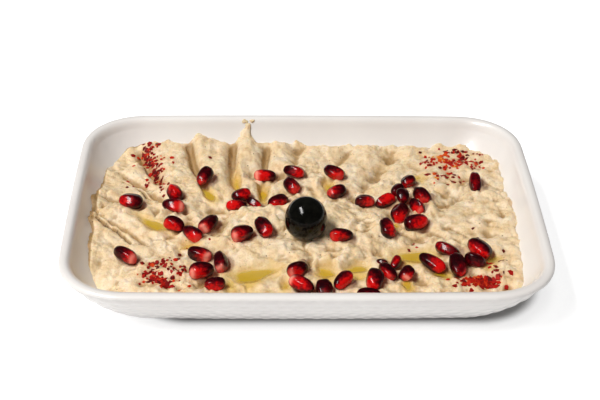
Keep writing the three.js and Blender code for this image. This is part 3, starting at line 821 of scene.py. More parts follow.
def grid_block(name, step):
    """A closed block under the dip's surface, wider than the room in the dish."""
    xs = np.arange(-106, 106 + step, step)
    ys = np.arange(-76, 76 + step, step)
    x, y = np.meshgrid(xs, ys)
    z = dip_height(x, y)
    columns, rows = len(xs), len(ys)
    points = np.stack([x.ravel(), y.ravel(), z.ravel()], 1)
    index = np.arange(columns * rows).reshape(rows, columns)
    quads = np.stack([index[:-1, :-1], index[:-1, 1:], index[1:, 1:], index[1:, :-1]], -1)
    faces = [tuple(quad) for quad in quads.reshape(-1, 4).tolist()]
    sides = [index[0, :-1], index[:-1, -1], index[-1, :0:-1], index[:0:-1, 0]]
    edge = np.concatenate(sides).tolist()
    under = len(points)
    low = points[edge].copy()
    low[:, 2] = 0
    points = np.concatenate([points, low])
    for i, top in enumerate(edge):
        j = (i + 1) % len(edge)
        faces.append((top, under + i, under + j, edge[j]))
    faces.append(tuple(range(under + len(edge) - 1, under - 1, -1)))
    return closed_block(name, points, faces)


def room_block(name):
    """The space inside the dish, reaching a hair into its wall."""
    loops = [dish_outline(wall_inset(FLOOR) + 3.0, WALL - REACH_INTO_WALL, FLOOR + 0.3)]
    for z in np.linspace(FLOOR + 2.4, DISH_HEIGHT - 0.5, 24):
        loop = dish_outline(wall_inset(z), WALL - REACH_INTO_WALL, z)
        loops.append(thicken_front(loop, ease(20, 27, z)))
    return closed_block(name, *loft(loops))


def shared_form(first, second, operation="INTERSECT"):
    """Points and faces of what two closed blocks share. Both blocks are used up."""
    cut = first.modifiers.new("cut", "BOOLEAN")
    cut.operation = operation
    cut.solver = "MANIFOLD"
    cut.object = second
    shown = first.evaluated_get(bpy.context.evaluated_depsgraph_get())
    mesh = bpy.data.meshes.new_from_object(shown)
    points = np.empty(len(mesh.vertices) * 3)
    mesh.vertices.foreach_get("co", points)
    faces = [tuple(p.vertices) for p in mesh.polygons]
    bpy.data.meshes.remove(mesh)
    bpy.data.objects.remove(first)
    bpy.data.objects.remove(second)
    return points.reshape(-1, 3), faces


def curl_block(name):
    """The broad tip that stands where the spoon left the dip, against the back wall."""
    loops = []
    for t in np.linspace(0, 1, 30):
        radius = 0.8 + 4.0 * (1 - t) ** 1.1 + 0.35 * math.sin(13 * t) * (1 - t)
        x = -28.4 + 0.9 * ease(0.2, 1, t) + 0.4 * math.sin(8 * t)
        z = 20.0 + 9.6 * t
        y = 66.5 + 6.4 * t**0.8
        angle = np.linspace(0, 2 * math.pi, 24, endpoint=False)
        uneven = 1 + 0.12 * np.sin(3 * angle + 9 * t) + 0.08 * np.sin(5 * angle - 12 * t)
        px = x + radius * uneven * np.cos(angle)
        py = y + 0.7 * radius * uneven * np.sin(angle)
        loops.append(np.stack([px, py, np.full(24, z)], 1))
    return closed_block(name, *loft(loops))


def smear_block(name, x, z, half_width, half_height):
    """A thin smear of dip that the spoon left on the back wall."""
    wall_y = DISH_WIDTH / 2 - WALL - wall_inset(z)
    angle = np.linspace(0, 2 * math.pi, 20, endpoint=False)
    ragged = 1 + 0.2 * np.sin(3 * angle + x) + 0.12 * np.sin(5 * angle + z)
    loops = []
    for t in np.linspace(-0.95, 0.95, 9):
        reach = math.sqrt(1 - t * t) * ragged
        px = x + half_width * reach * np.cos(angle)
        pz = z + half_height * reach * np.sin(angle)
        loops.append(np.stack([px, wall_y - 0.55 * t + 0.25 * (pz - z), pz], 1))
    return closed_block(name, *loft(loops[::-1]))


def joined_block(first, second):
    points, faces = shared_form(first, second, "UNION")
    return closed_block("joined", points, faces)


surface_block = joined_block(grid_block("surface", GRID), curl_block("curl"))
for smear in ((-29.0, 30.5, 1.5, 1.0), (-25.3, 30.7, 1.1, 0.8), (-28.0, 28.9, 0.7, 1.2)):
    surface_block = joined_block(surface_block, smear_block("smear", *smear))
dip_points, dip_faces = shared_form(surface_block, room_block("room_inside"))
print("dip mesh:", len(dip_points), "points,", len(dip_faces), "faces")

# %% [markdown]
# The dip has a painted reddish shadow just to the right of each aril, so the dip's colour needs to
# know where they lie. Each is measured from its node in the imported model: the widest run of the
# node's points gives its length, and the fatter end is the blunt one.

# %% Where the arils lie
def node_points(name):
    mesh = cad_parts[name].data
    points = np.empty(len(mesh.vertices) * 3)
    mesh.vertices.foreach_get("co", points)
    return np.unique(np.round(points.reshape(-1, 3) / MM, 4), axis=0)


def lie_of(name):
    """Centre, axes (towards the blunt end, sideways, up) and length and width."""
    points = node_points(name)
    centre = (points.max(0) + points.min(0)) / 2
    _, _, axes = np.linalg.svd(points - points.mean(0))
    along = axes[0]
    place = (points - centre) @ along
    centre = centre + along * (place.max() + place.min()) / 2
    place = (points - centre) @ along
    away = np.linalg.norm(points - centre - place[:, None] * along, axis=1)
    if np.sum(place * away) < 0:
        along, place = -along, -place
    side = np.cross([0, 0, 1], along)
    side = side / np.linalg.norm(side)
    up = np.cross(along, side)
    return centre, np.stack([along, side, up]), 2 * place.max(), 2 * away.max()


aril_names = sorted(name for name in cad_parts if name.startswith("aril_"))
aril_lies = {name: lie_of(name) for name in aril_names}
print("arils:", len(aril_names))

# %% [markdown]
# The dip is a moist paste. Light sinks a little way in and comes out again, which softens every
# ridge, so the shader has some subsurface light. Its colour is cream, with painted shade in the
# folds, the cracks and beside the left wall, a warm, darker tan down to dark brown; where oil has
# soaked in, it is yellower and shinier. Fine bumps stand for fibres too small to model.

# %% Aubergine paste
def aubergine_paste():
    material, tree, place = new_material("mashed_aubergine_paste")
    coarse = {"Vector": place, "Scale": per_mm(7), "Detail": 3, "Roughness": 0.6}
    blotches = add_node(tree, "TexNoise", coarse)
    creams = [(0.3, "#e6c799"), (0.5, "#efd6af"), (0.7, "#f5e2c6")]
    cream = add_node(tree, "ValToRGB", {"Fac": blotches}, stops=creams)
    # Painted shade: the fold attribute darkens the paste to tan in folds, cracks and beside the
    # left wall, and to dark brown in the deepest of them
    fold = add_node(tree, "Attribute", output="Fac", attribute_name="fold")
    fold_shade = add_node(tree, "MapRange", {0: fold, 1: 0.05, 2: 1.0, 4: 0.8}, **SMOOTH)
    shaded_in_folds = add_node(tree, "Mix", {0: fold_shade, 6: cream, 7: linear("#956f38")}, **COLOUR_MIX)
    crease_shade = add_node(tree, "MapRange", {0: fold, 1: 1.0, 2: 1.7, 4: 0.8}, **SMOOTH)
    deep = add_node(tree, "Mix", {0: crease_shade, 6: shaded_in_folds, 7: linear("#45300f")}, **COLOUR_MIX)
    medium = {"Vector": place, "Scale": per_mm(3.2), "Detail": 2, "Roughness": 0.6}
    patches = add_node(tree, "TexNoise", medium)
    tan = add_node(tree, "MapRange", {0: patches, 1: 0.5, 2: 0.72, 4: 0.4}, **SMOOTH)
    tanned = add_node(tree, "Mix", {0: tan, 6: deep, 7: linear("#c79c68")}, **COLOUR_MIX)
    small = {"Vector": place, "Scale": per_mm(1.1), "Detail": 4, "Roughness": 0.7}
    fine = add_node(tree, "TexNoise", small)
    dots = add_node(tree, "MapRange", {0: fine, 1: 0.5, 2: 0.7, 4: 0.35}, **SMOOTH)
    mottled = add_node(tree, "Mix", {0: dots, 6: tanned, 7: linear("#b8925f")}, **COLOUR_MIX)
    seeds = add_node(tree, "TexVoronoi", {"Vector": place, "Scale": per_mm(3.4)}, "Distance")
    kinds = add_node(tree, "TexVoronoi", {"Vector": place, "Scale": per_mm(3.4)}, "Color")
    speck = add_node(tree, "MapRange", {0: seeds, 1: 0.13, 2: 0.05}, **SMOOTH)
    chosen = add_node(tree, "MapRange", {0: kinds, 1: 0.54, 2: 0.58}, **SMOOTH)
    shown = add_node(tree, "Math", {0: speck, 1: chosen}, operation="MULTIPLY")
    specked = add_node(tree, "Mix", {0: shown, 6: mottled, 7: linear("#5f4528")}, **COLOUR_MIX)
    oiled = add_node(tree, "Attribute", output="Fac", attribute_name="oiled")
    oil = add_node(tree, "Math", {0: oiled, 1: 0.85}, operation="MULTIPLY")
    soaked = add_node(tree, "Mix", {0: oil, 6: specked, 7: linear("#dcb34a")}, **COLOUR_MIX)
    # Painted reddish shadow of the arils on the dip
    juicy = add_node(tree, "Attribute", output="Fac", attribute_name="juicy")
    juice = add_node(tree, "Math", {0: juicy, 1: 0.6}, operation="MULTIPLY")
    aril_shaded = add_node(tree, "Mix", {0: juice, 6: soaked, 7: linear("#6e2a14")}, **COLOUR_MIX)
    pepper = add_node(tree, "Attribute", output="Fac", attribute_name="peppered")
    peppered = add_node(tree, "Mix", {0: pepper, 6: aril_shaded, 7: linear("#c8703a")}, **COLOUR_MIX)
    thin = {"Vector": place, "Scale": per_mm(0.7), "Detail": 5, "Roughness": 0.6}
    fibre = add_node(tree, "TexNoise", thin)
    bump = add_node(tree, "Bump", {"Strength": 0.7, "Distance": 0.0006, "Height": fibre})
    moist = {"Vector": place, "Scale": per_mm(2.5), "Detail": 3, "Roughness": 0.6}
    moisture = add_node(tree, "TexNoise", moist)
    gloss = add_node(tree, "MapRange", {0: moisture, 1: 0.35, 2: 0.65, 3: 0.26, 4: 0.6}, **SMOOTH)
    smoothed = add_node(tree, "Math", {0: oiled, 1: 0.2}, operation="MULTIPLY")
    roughness = add_node(tree, "Math", {0: gloss, 1: smoothed}, operation="SUBTRACT")
    surface = {
        "Base Color": peppered,
        "Roughness": roughness,
        "IOR": 1.42,
        "Subsurface Weight": 0.25,
        "Subsurface Radius": (1.0, 0.55, 0.25),
        "Subsurface Scale": 0.0012,
        "Normal": bump,
    }
    shader = add_node(tree, "BsdfPrincipled", surface)
    add_node(tree, "OutputMaterial", {"Surface": shader})
    return material


# %% Dip piece
def fold_depth(x, y, z):
    """0 on open ground and 1 deep in a fold, from the ground a few millimetres round."""
    step = 0.6
    columns = np.arange(-110, 110, step)
    rows = np.arange(-80, 80, step)
    ground = dip_height(*np.meshgrid(columns, rows))
    around = 0
    for reach, share in ((1.5, 0.35), (3.3, 0.4), (6.6, 0.25)):
        for i in range(12):
            angle = 2 * math.pi * i / 12
            shift = (round(reach * math.sin(angle) / step), round(reach * math.cos(angle) / step))
            around = around + share / 12 * np.roll(ground, shift, (0, 1))
    i = np.clip(((x - columns[0]) / step).round().astype(int), 0, len(columns) - 1)
    j = np.clip(((y - rows[0]) / step).round().astype(int), 0, len(rows) - 1)
    return np.clip((around[j, i] - z) / 1.2, 0, 1)


def make_dip():
    dip = make_piece("baba_ganoush_dip", dip_points, dip_faces, aubergine_paste())
    x, y, z = dip_points.T
    wet = np.zeros(len(x))
    for pool in levels:
        wet = np.maximum(wet, 0.6 - 0.6 * ease(0.8, 1.9, pool_share(pool, x, y)))
    for stain in SOAKED:
        wet = np.maximum(wet, stain[5] * (1 - ease(0.25, 1.3, pool_share(stain, x, y))))
    paint(dip, "oiled", wet)
    # Painted shade: folds, cracks and the gap beside the left wall, marked for the paste to darken
    fold_shade = np.maximum(fold_depth(x, y, z), 1.6 * ease(0.3, 1.7, crack_depth(x, y)))
    left_wall_shade = ease(-60, -90, x) * (1 - ease(0.0, 0.9, wall_distance(x, y) - 0.3 * (25 - z)))
    fold_shade = np.maximum(fold_shade, 1.3 * left_wall_shade)
    paint(dip, "fold", fold_shade * (1 - 0.8 * wet))
    # Painted reddish shadow of each aril on the dip, set a little to its right, where its shadow
    # falls
    stain = np.zeros(len(x))
    for lie in aril_lies.values():
        centre, axes, length, _ = lie
        off_x, off_y = x - centre[0] - 1.6, y - centre[1] - 0.4
        along = off_x * axes[0][0] + off_y * axes[0][1]
        across = off_x * axes[1][0] + off_y * axes[1][1]
        reach = np.hypot(along / (0.55 * length), across / (0.42 * length))
        stain = np.maximum(stain, 1 - ease(0.8, 1.08, reach))
    paint(dip, "juicy", stain)
    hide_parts("baba_ganoush")
    return dip


dip = make_dip()

# %% [markdown]
# ## The oil
# Each pool is a thin body of oil with a level top and a skirt that goes down into the
# dip, so its shore is the line where the dip rises through it. Oil is clear and
# yellow; the thicker it lies, the yellower it looks. A see-through yellow whose
# strength follows the thickness shows that without the noise of refracted light.

# %% Olive oil
def clear_olive_oil():
    material, tree, place = new_material("clear_olive_oil")
    thickness = add_node(tree, "Attribute", output="Fac", attribute_name="thickness")
    haze = add_node(tree, "TexNoise", {"Vector": place, "Scale": per_mm(5), "Detail": 2})
    cloudy = add_node(tree, "MapRange", {0: haze, 1: 0.3, 2: 0.7, 3: -0.18, 4: 0.18}, **SMOOTH)
    varied = add_node(tree, "Math", {0: cloudy, 1: thickness}, operation="MULTIPLY")
    thick = add_node(tree, "Math", {0: thickness, 1: varied}, operation="ADD")
    strength = add_node(tree, "MapRange", {0: thick, 4: 0.6}, **SMOOTH)
    colour = add_node(tree, "ValToRGB", {"Fac": thick}, stops=[(0.1, "#e8cf5e"), (0.9, "#d6b21f")])
    ripple = add_node(tree, "TexNoise", {"Vector": place, "Scale": per_mm(4), "Detail": 1})
    bump = add_node(tree, "Bump", {"Strength": 0.15, "Distance": 0.0004, "Height": ripple})
    surface = {
        "Base Color": colour,
        "Roughness": 0.06,
        "IOR": 1.47,
        "Alpha": strength,
        "Specular IOR Level": 1.0,
        "Normal": bump,
    }
    shader = add_node(tree, "BsdfPrincipled", surface)
    add_node(tree, "OutputMaterial", {"Surface": shader})
    return material


FULL_STRENGTH_DEPTH = 1.1


def pool_body(pool, level):
    """Points, faces and relative thickness of one pool over the dip under it."""
    loops, thickness = [], []
    for scale in np.linspace(0.08, 1.25, 18):
        x, y = shore_points(pool, scale)
        rise = 0.12 * ease(0.85, 1.25, scale)
        loops.append(np.stack([x, y, np.full(len(x), level + rise)], 1))
        depth = level - dip_height(x, y)
        full = np.clip(depth / FULL_STRENGTH_DEPTH, 0, 1)
        thickness.append(full * (1 - ease(0.85, 1.2, scale)))
    for scale, drop in ((1.2, 1.0), (0.6, pool[5] + 0.5)):
        x, y = shore_points(pool, scale)
        loops.append(np.stack([x, y, np.full(len(x), level - drop)], 1))
        thickness.append(np.zeros(len(x)))
    points, faces = loft(loops[::-1])
    return points, faces, np.concatenate(thickness[::-1])


def join_bodies(bodies):
    """One set of points and faces from several."""
    points, faces, values = [], [], []
    start = 0
    for body_points, body_faces, body_values in bodies:
        points.append(body_points)
        values.append(body_values)
        faces += [tuple(start + i for i in face) for face in body_faces]
        start += len(body_points)
    return np.concatenate(points), faces, np.concatenate(values)


def make_oil():
    bodies = [pool_body(pool, level) for pool, level in levels.items()]
    points, faces, thickness = join_bodies(bodies)
    oil = make_piece("olive_oil_pools", points, faces, clear_olive_oil())
    paint(oil, "thickness", thickness)
    names = [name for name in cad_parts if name.startswith("oil_")]
    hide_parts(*names)
    print("oil stands for", len(names), "pools")


make_oil()

# %% [markdown]
# ## The pomegranate arils
# An aril is a sac of dark red juice round a pale seed, a blunt barrel with flat sides where it
# pressed on its neighbours. Light that enters the sac leaves again where the juice is thinnest, so
# the side it came from and the rim are nearly black and a soft patch on the other side glows red.
# This light and shade is painted: a glow is worked out for each point of the skin, for light from
# the left and a view from the front, and the material reads it as colour and as a faint light of
# its own. The seed shows pale at one end of some, with a painted hot spot of light there.

# %% Aril looks
# The painted glow is worked out for a view from the front and 35 degrees above
TOWARDS_EYE = np.array([0.03, -0.82, 0.57])
EYE_RIGHT = np.array([1, 0.03, 0])
EYE_UP = np.array([-0.02, 0.57, 0.82])
LOOKS = {
    # for each aril of a row: how bright its painted glow is, how pale its seed, and which way
    # the painted light leaves it, in degrees: 0 to the right, 90 up, -90 down, 180 to the left
    "back_left": [
        *[(0, 0.1, -120), (-0.15, 0, 180), (-0.1, 0.1, 110), (0.2, 0.7, -20)],
        *[(0.1, 0.9, 180), (0, 0, -20), (0.1, 0.1, -50)],
    ],
    "behind_mound": [
        *[(-0.15, 0, 20), (0, 0, 160), (-0.1, 0, -60), (0, 0, -100)],
        *[(0.1, 0.1, -60), (-0.15, 0.1, 170), (0, 0.1, -10)],
    ],
    "back_right": [
        *[(0, 0, 60), (-0.35, 0, -90), (-0.35, 0, -90), (-0.15, 0, -90), (0, 0.1, -90)],
        *[(0.15, 0.3, -100), (0.15, 0, -90), (-0.15, 0, 0), (0, 0, 0), (-0.4, 0, 110)],
    ],
    "middle": [
        *[(0.05, 0.1, -150), (0, 0.9, -130), (0.2, 0.1, -80)],
        *[(0.1, 0, -50), (0, 0.7, -140), (0, 0.1, -160)],
    ],
    "front_left": [
        *[(0, 0.6, -30), (0, 0.8, -25), (-0.05, 0.9, -90), (0.05, 0.8, -140)],
        *[(-0.1, 0, -90), (0, 0.5, -120), (-0.05, 0.9, 150), (-0.25, 0.2, -90)],
    ],
    "front_right": [
        *[(0.1, 0, -30), (0.1, 0, -140), (-0.05, 0.1, -120), (-0.25, 0, 90)],
        *[(-0.05, 0, -90), (0.05, 0.9, -90), (-0.05, 0, -90), (-0.3, 0, 160)],
        *[(-0.05, 0, -150), (0.15, 0, -20), (-0.15, 0, -60), (-0.45, 0, -90)],
    ],
}


def look_of(name):
    """Brightness and paleness of an aril, and the direction its light leaves in."""
    row, place = name.removeprefix("aril_").rsplit("_", 1)
    tone, seed, bearing = LOOKS[row][int(place) - 1]
    bearing = math.radians(bearing)
    leaving = math.cos(bearing) * EYE_RIGHT + math.sin(bearing) * EYE_UP
    return tone, seed, 0.78 * TOWARDS_EYE + 0.62 * leaving


print("looks of arils:", sum(len(row) for row in LOOKS.values()))

# %% Aril meshes
SAC_SIDES = 36
SAC_RINGS = 26


def sac_body(number, name):
    """Points and faces of one aril, and how much painted glow each point has and how pale it is."""
    rng = np.random.default_rng(100 + number)
    centre, axes, length, width = aril_lies[name]
    tone, seed, leaving = look_of(name)
    side_count = int(rng.integers(5, 7))
    turn = rng.uniform(0, 2 * math.pi)
    facets = []
    for i in range(side_count):
        facet = turn + 2 * math.pi * (i + rng.uniform(-0.22, 0.22)) / side_count
        facets.append((facet, rng.uniform(0.82, 0.98), rng.uniform(-0.12, 0.12)))
    angle = np.linspace(0, 2 * math.pi, SAC_SIDES, endpoint=False)
    bend = rng.uniform(-0.3, 0.3)
    slant = rng.uniform(-0.16, 0.16)
    loops, outwards = [], []
    places = np.sin(np.linspace(-math.pi / 2 + 0.1, math.pi / 2 - 0.1, SAC_RINGS))
    for place in places:
        barrel = (1 - abs(place) ** 2.5) ** 0.45 * (1 + 0.1 * place)
        spread = 0
        for facet, closeness, lean in facets:
            nearness = closeness * (1 + lean * place)
            spread = spread + np.clip(np.cos(angle - facet) / nearness, 0, None) ** 9
        radius = 0.96 * width / 2 * barrel * spread ** (-1 / 9)
        x = length / 2 * place * 0.99 + slant * radius * np.cos(angle)
        y = radius * np.cos(angle) + bend * (1 - place**2) - bend / 2
        z = 0.93 * radius * np.sin(angle)
        loops.append(centre + np.stack([x, y, z], 1) @ axes)
        girth = math.sqrt(1 - 0.6 * place**2)
        outward = [np.full(SAC_SIDES, 0.77 * place), girth * np.cos(angle), girth * np.sin(angle)]
        outwards.append(np.stack(outward, 1) @ axes)
    outward = np.array(outwards)
    core = outward @ leaving
    turned_away = 1 - ease(-0.35, 0, outward @ TOWARDS_EYE)
    lit_behind = turned_away * ease(0.0, 1.04, outward @ (leaving * (-1, -1, 1)))
    lit = np.maximum(ease(0.0, 1.04, core), lit_behind)
    glow = np.clip(lit * (1 + tone) + 0.3 * tone, 0, 1.3)
    lit_end = 1 if axes[0] @ leaving > 0 else -1
    # The pale pink is the seed near the end where the light leaves, with a painted hot spot of
    # light there
    pale = 0.85 * seed * bell(lit_end * places[:, None] - 0.76, 0.17) * ease(0.5, 0.9, core)
    points, faces = loft(loops)
    return points, faces, glow.ravel(), pale.ravel()


print("rings on a sac:", SAC_RINGS, "and sides:", SAC_SIDES)

# %% [markdown]
# The skin is a thin clear film, wet and glossy, over juice. Its colour follows the painted glow,
# from nearly black on the shaded side and rim over maroon to a bright red where the light leaves.
# It turns pale pink where the seed touches the skin, painted strongest on the glowing side. A
# little light of its own, a painted glow, stands for light that the juice has carried inside. Light
# passes through a sac on its way to the dip, so its shadow is red and not grey.

# %% Juice sac
def juice_sac():
    material, tree, place = new_material("pomegranate_juice_sac")
    drawn = {"Vector": place, "Scale": per_mm(1.7), "Detail": 3, "Roughness": 0.6}
    streak = add_node(tree, "TexNoise", drawn)
    drift = add_node(tree, "MapRange", {0: streak, 1: 0.3, 2: 0.7, 3: -0.24, 4: 0.24}, **SMOOTH)
    # Painted light and shade: the glow attribute sets the red from nearly black to bright, and a
    # faint emission of the same colour adds a painted glow
    lit = add_node(tree, "Attribute", output="Fac", attribute_name="glow")
    glow = add_node(tree, "Math", {0: lit, 1: drift}, operation="ADD")
    reds = [(0.0, "#220004"), (0.3, "#440108"), (0.6, "#74030a"), (0.97, "#c60c0c")]
    glow_painted_flesh = add_node(tree, "ValToRGB", {"Fac": glow}, stops=reds)
    pale = add_node(tree, "Attribute", output="Fac", attribute_name="pale")
    tipped = add_node(tree, "Mix", {0: pale, 6: glow_painted_flesh, 7: linear("#f4a08c")}, **COLOUR_MIX)
    dents = add_node(tree, "TexNoise", {"Vector": place, "Scale": per_mm(1.6), "Detail": 2})
    bump = add_node(tree, "Bump", {"Strength": 0.25, "Distance": 0.0004, "Height": dents})
    carried = add_node(tree, "MapRange", {0: glow, 1: 0.3, 2: 1.0, 4: 0.16}, **SMOOTH)
    surface = {
        "Base Color": tipped,
        "Roughness": 0.3,
        "IOR": 1.36,
        "Subsurface Weight": 0.12,
        "Subsurface Radius": (1.0, 0.1, 0.08),
        "Subsurface Scale": 0.001,
        "Specular IOR Level": 0.1,
        "Coat Weight": 0.65,
        "Coat Roughness": 0.08,
        "Coat IOR": 1.36,
        "Emission Color": tipped,
        "Emission Strength": carried,
        "Normal": bump,
    }
    sac = add_node(tree, "BsdfPrincipled", surface)
    passing = add_node(tree, "BsdfTransparent", {"Color": linear("#a05a44")})
    ray = add_node(tree, "LightPath", output="Is Shadow Ray")
    shader = add_node(tree, "MixShader", {0: ray, 1: sac, 2: passing})
    add_node(tree, "OutputMaterial", {"Surface": shader})
    return material


def make_arils():
    bodies, pales = [], []
    for number, name in enumerate(aril_names):
        points, faces, glow, pale = sac_body(number, name)
        bodies.append((points, faces, glow))
        pales.append(pale)
    points, faces, glow = join_bodies(bodies)
    sacs = make_piece("pomegranate_arils", points, faces, juice_sac())
    paint(sacs, "glow", glow)
    paint(sacs, "pale", np.concatenate(pales))
    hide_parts(*aril_names)


make_arils()

# %% [markdown]
# ## The olive
# The olive is whole, black and wet, and stands on end. Its skin is smooth with faint
# pores and a few shallow wrinkles. It is turned from a profile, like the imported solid,
# with more points.

# %% Olive
OLIVE = {"x": 0, "y": -15.8, "radius": 9.75, "height": 20.0, "sunk": 1.5}
OLIVE_EGG = 0.07
OLIVE_POWER = 2.1


def black_olive_skin():
    material, tree, place = new_material("black_olive_skin")
    uneven = add_node(tree, "TexNoise", {"Vector": place, "Scale": per_mm(3), "Detail": 3})
    tone = add_node(tree, "ValToRGB", {"Fac": uneven}, stops=[(0.3, "#050504"), (0.7, "#12120e")])
    pores = add_node(tree, "TexNoise", {"Vector": place, "Scale": per_mm(0.9), "Detail": 3})
    bump = add_node(tree, "Bump", {"Strength": 0.18, "Distance": 0.0003, "Height": pores})
    surface = {
        "Base Color": tone,
        "Roughness": 0.1,
        "IOR": 1.34,
        "Specular IOR Level": 0.5,
        "Normal": bump,
    }
    shader = add_node(tree, "BsdfPrincipled", surface)
    add_node(tree, "OutputMaterial", {"Surface": shader})
    return material


def make_olive():
    rings, sides = 40, 72
    angle = np.linspace(0, 2 * math.pi, sides, endpoint=False)
    foot = float(broad_height(OLIVE["x"], OLIVE["y"])) - OLIVE["sunk"]
    middle = foot + OLIVE["height"] / 2
    loops = []
    for t in np.linspace(-0.97, 0.97, rings):
        height = math.sin(t * math.pi / 2)
        radius = OLIVE["radius"] * (1 - abs(height) ** OLIVE_POWER) ** (1 / OLIVE_POWER)
        radius *= 1 - OLIVE_EGG * height
        x = OLIVE["x"] + radius * np.cos(angle)
        y = OLIVE["y"] + radius * np.sin(angle)
        level = middle + OLIVE["height"] / 2 * height
        loops.append(np.stack([x, y, np.full(sides, level)], 1))
    points, faces = loft(loops)
    olive = make_piece("black_olive", points, faces, black_olive_skin())
    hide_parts("olive")


make_olive()

# %% [markdown]
# ## The pepper flakes
# Crushed red pepper was dropped in four pinches near the corners. A pinch is not even:
# it has a dense heart, looser drifts beside it and a few chips thrown wide. A chip is
# a thin, slightly tilted flake of dried skin, from wine red to orange. The chips that
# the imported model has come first, at the places its own repeatable draws give.

# %% Flakes
SOLID_PINCHES = [
    # x, y, half length, half width, turn in degrees, chips
    (-73, 47, 13, 3, 112, 11),
    (75, 50, 9, 6, 10, 12),
    (-67, -45.5, 6.5, 5, -20, 11),
    (77.5, -48.5, 6.5, 3.5, 5, 11),
]
DRIFTS = [
    # x, y, half length, half width, turn in degrees, chips, largest radius, warmth
    (-77.5, 56, 7, 1.7, 112, 36, 0.75, 0.1),
    (-72.5, 44, 6, 1.7, 112, 36, 0.7, 0.05),
    (-74, 50, 12, 8, 112, 40, 0.6, 0.45),
    (-70, 30, 10, 4.5, 112, 22, 0.6, 0.15),
    (-78, 62, 9, 3.5, 0, 16, 0.8, 0.3),
    (-80, 38, 14, 11, 100, 16, 0.6, 0.25),
    (74, 51, 8, 7, 10, 60, 0.8, 0.5),
    (69, 51, 4, 4, 0, 18, 0.8, 0.9),
    (80, 59, 8, 3.5, -10, 32, 0.8, 0.2),
    (86, 49, 4.5, 5, 0, 18, 0.75, 0.3),
    (62, 50, 3, 10, 0, 22, 0.7, 0.3),
    (73, 36, 8, 5, 0, 26, 0.7, 0.3),
    (65, 33, 1.2, 7, 0, 12, 0.6, 0.8),
    (-66, -47, 6, 2.2, -25, 60, 0.9, 0.4),
    (-62, -35, 6, 4, 20, 26, 0.65, 0.1),
    (-58, -43, 4.5, 6, 0, 22, 0.75, 0.15),
    (-70, -41, 4, 4, 0, 12, 0.8, 0.3),
    (-62, -46, 13, 9, 0, 26, 0.5, 0.5),
    (-48, -28, 9, 9, 0, 10, 0.5, 0.2),
    (77, -48.2, 6, 3.0, 10, 110, 0.85, 0.38),
    (84, -40, 5, 7, 0, 22, 0.7, 0.3),
    (70, -50, 6, 3.5, 0, 24, 0.7, 0.4),
    (74, -24, 8, 8, 0, 8, 0.6, 0.2),
    (51, -26, 7, 5, 0, 7, 0.5, 0.2),
]
LARGE_CHIPS = [
    # x, y, radius
    (-73, 64, 1.2),
    (-80, 65, 0.9),
    (-46, 51, 1.2),
    (-73, -37.7, 1.2),
    (-69.5, -37, 1.3),
    (-56, -38.5, 1.1),
    (89.7, -26.7, 1.3),
    (85, -45.2, 1.2),
    (77.8, -9.8, 0.9),
    (82, 54, 1.1),
    (87, 51, 1.0),
]


def repeatable_draws(seed):
    """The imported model's own random numbers, one after another."""
    state = seed
    while True:
        state = (state * 1664525 + 1013904223) % 2**32
        yield state / 2**32


SOLID_CHIP_SEED = 41
SOLID_CHIP_WARMTH = 0.35
LARGE_CHIP_WARMTH = 0.2
HALF_CHIP_THICKNESS = 0.2


def solid_chips():
    """Place, radius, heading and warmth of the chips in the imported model."""
    draw = repeatable_draws(SOLID_CHIP_SEED)
    for x, y, along, across, turn, count in SOLID_PINCHES:
        for _ in range(count):
            angle = 2 * math.pi * next(draw)
            reach = math.sqrt(next(draw))
            size = 0.8 + 0.5 * next(draw)
            heading = math.pi * next(draw)
            u, v = along * reach * math.cos(angle), across * reach * math.sin(angle)
            yield (*turned(x, y, u, v, turn), size, heading, SOLID_CHIP_WARMTH)


def loose_chips(rng):
    for x, y, along, across, turn, count, largest, warmth in DRIFTS:
        for _ in range(round(0.7 * count)):
            u, v = rng.normal(0, 0.6 * along), rng.normal(0, 0.6 * across)
            radius = 2.2 * largest * rng.uniform(0.45, 1) ** 1.2
            yield (*turned(x, y, u, v, turn), radius, rng.uniform(0, math.pi), warmth)
    for x, y, radius in LARGE_CHIPS:
        yield x, y, radius, rng.uniform(0, math.pi), LARGE_CHIP_WARMTH


def chip_body(x, y, radius, heading, warmth, rng):
    """One flake: a thin polygon with an uneven outline, lying on the dip."""
    sides = int(rng.integers(4, 7))
    angle = heading + np.linspace(0, 2 * math.pi, sides, endpoint=False)
    narrowing = 1 - rng.uniform(0.1, 0.45) * np.abs(np.sin(angle - heading))
    reach = radius * rng.uniform(0.75, 1.15, sides) * narrowing
    px = x + reach * np.cos(angle)
    py = y + reach * np.sin(angle)
    ground = dip_height(px, py)
    lift = rng.uniform(-0.2, 0.35) * reach * np.cos(angle - rng.uniform(0, 6.3)) + 0.1
    level = 0.6 * ground + 0.4 * np.mean(ground) + lift
    top = np.stack([px, py, level + HALF_CHIP_THICKNESS], 1)
    bottom = np.stack([px, py, level - HALF_CHIP_THICKNESS], 1)
    shade = np.clip(warmth + rng.normal(0, 0.22), 0, 1)
    points, faces = loft([bottom, top])
    return points, faces, np.full(len(points), shade)


def on_an_aril(x, y):
    for centre, axes, length, width in aril_lies.values():
        u = (x - centre[0]) * axes[0][0] + (y - centre[1]) * axes[0][1]
        v = (x - centre[0]) * axes[1][0] + (y - centre[1]) * axes[1][1]
        if math.hypot(u / (0.56 * length), v / (0.6 * width)) < 1:
            return True
    return False


# how far from the middle a loose chip may lie, along, across and towards a corner
CHIP_REACH = (92.5, 65.5, 151)


def off_the_dip(x, y):
    along, across, corner = CHIP_REACH
    return abs(x) > along or abs(y) > across or abs(x) + abs(y) > corner


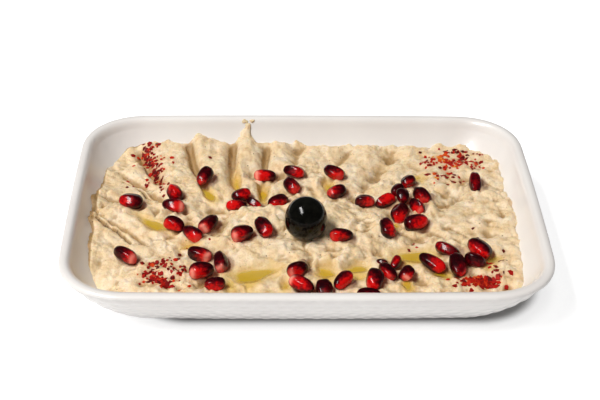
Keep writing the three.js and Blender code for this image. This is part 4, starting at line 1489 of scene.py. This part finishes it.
def dried_pepper():
    material, tree, place = new_material("crushed_red_pepper")
    reds = [(0.0, "#5e0403"), (0.3, "#9e0a04"), (0.6, "#c62208")]
    oranges = [(0.85, "#dc5a18"), (1.0, "#ea9636")]
    shade = add_node(tree, "Attribute", output="Fac", attribute_name="shade")
    tone = add_node(tree, "ValToRGB", {"Fac": shade}, stops=reds + oranges)
    grain = add_node(tree, "TexNoise", {"Vector": place, "Scale": per_mm(0.5), "Detail": 2})
    dark = add_node(tree, "MapRange", {0: grain, 1: 0.4, 2: 0.8, 4: 0.3}, **SMOOTH)
    mottled = add_node(tree, "Mix", {0: dark, 6: tone, 7: linear("#3f0502")}, **COLOUR_MIX)
    surface = {"Base Color": mottled, "Roughness": 0.6, "Specular IOR Level": 0.2}
    shader = add_node(tree, "BsdfPrincipled", surface)
    add_node(tree, "OutputMaterial", {"Surface": shader})
    return material


def pepper_tint(bodies):
    """How much each point of the dip takes on the colour of the chips near it."""
    tint = np.zeros(len(dip_points))
    for points, _, _ in bodies:
        x, y, _ = points.mean(0)
        off_x, off_y = abs(dip_points[:, 0] - x), abs(dip_points[:, 1] - y)
        near = np.flatnonzero((off_x < 4) & (off_y < 4))
        away = np.hypot(dip_points[near, 0] - x, dip_points[near, 1] - y)
        tint[near] += 0.16 * bell(away, 1.5)
    return np.clip(tint, 0, 0.42)


def make_flakes():
    rng = np.random.default_rng(7)
    bodies = []
    for x, y, radius, heading, warmth in [*solid_chips(), *loose_chips(rng)]:
        if not on_an_aril(x, y) and not off_the_dip(x, y):
            bodies.append(chip_body(x, y, radius, heading, warmth, rng))
    points, faces, shade = join_bodies(bodies)
    skin = dried_pepper()
    flakes = make_piece("red_pepper_flakes", points, faces, skin, smooth=False)
    paint(flakes, "shade", shade)
    paint(dip, "peppered", pepper_tint(bodies))
    print("flakes:", len(bodies))


make_flakes()

# %% [markdown]
# ## Finish
# The box round the finished pieces is printed beside the imported model's box. The
# looks may not change its size.

# %% Print the sizes and finish
bpy.context.view_layer.update()
new_box = [list(corner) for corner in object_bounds()]
print("packed model:", cad_box)
print("finished:", new_box)
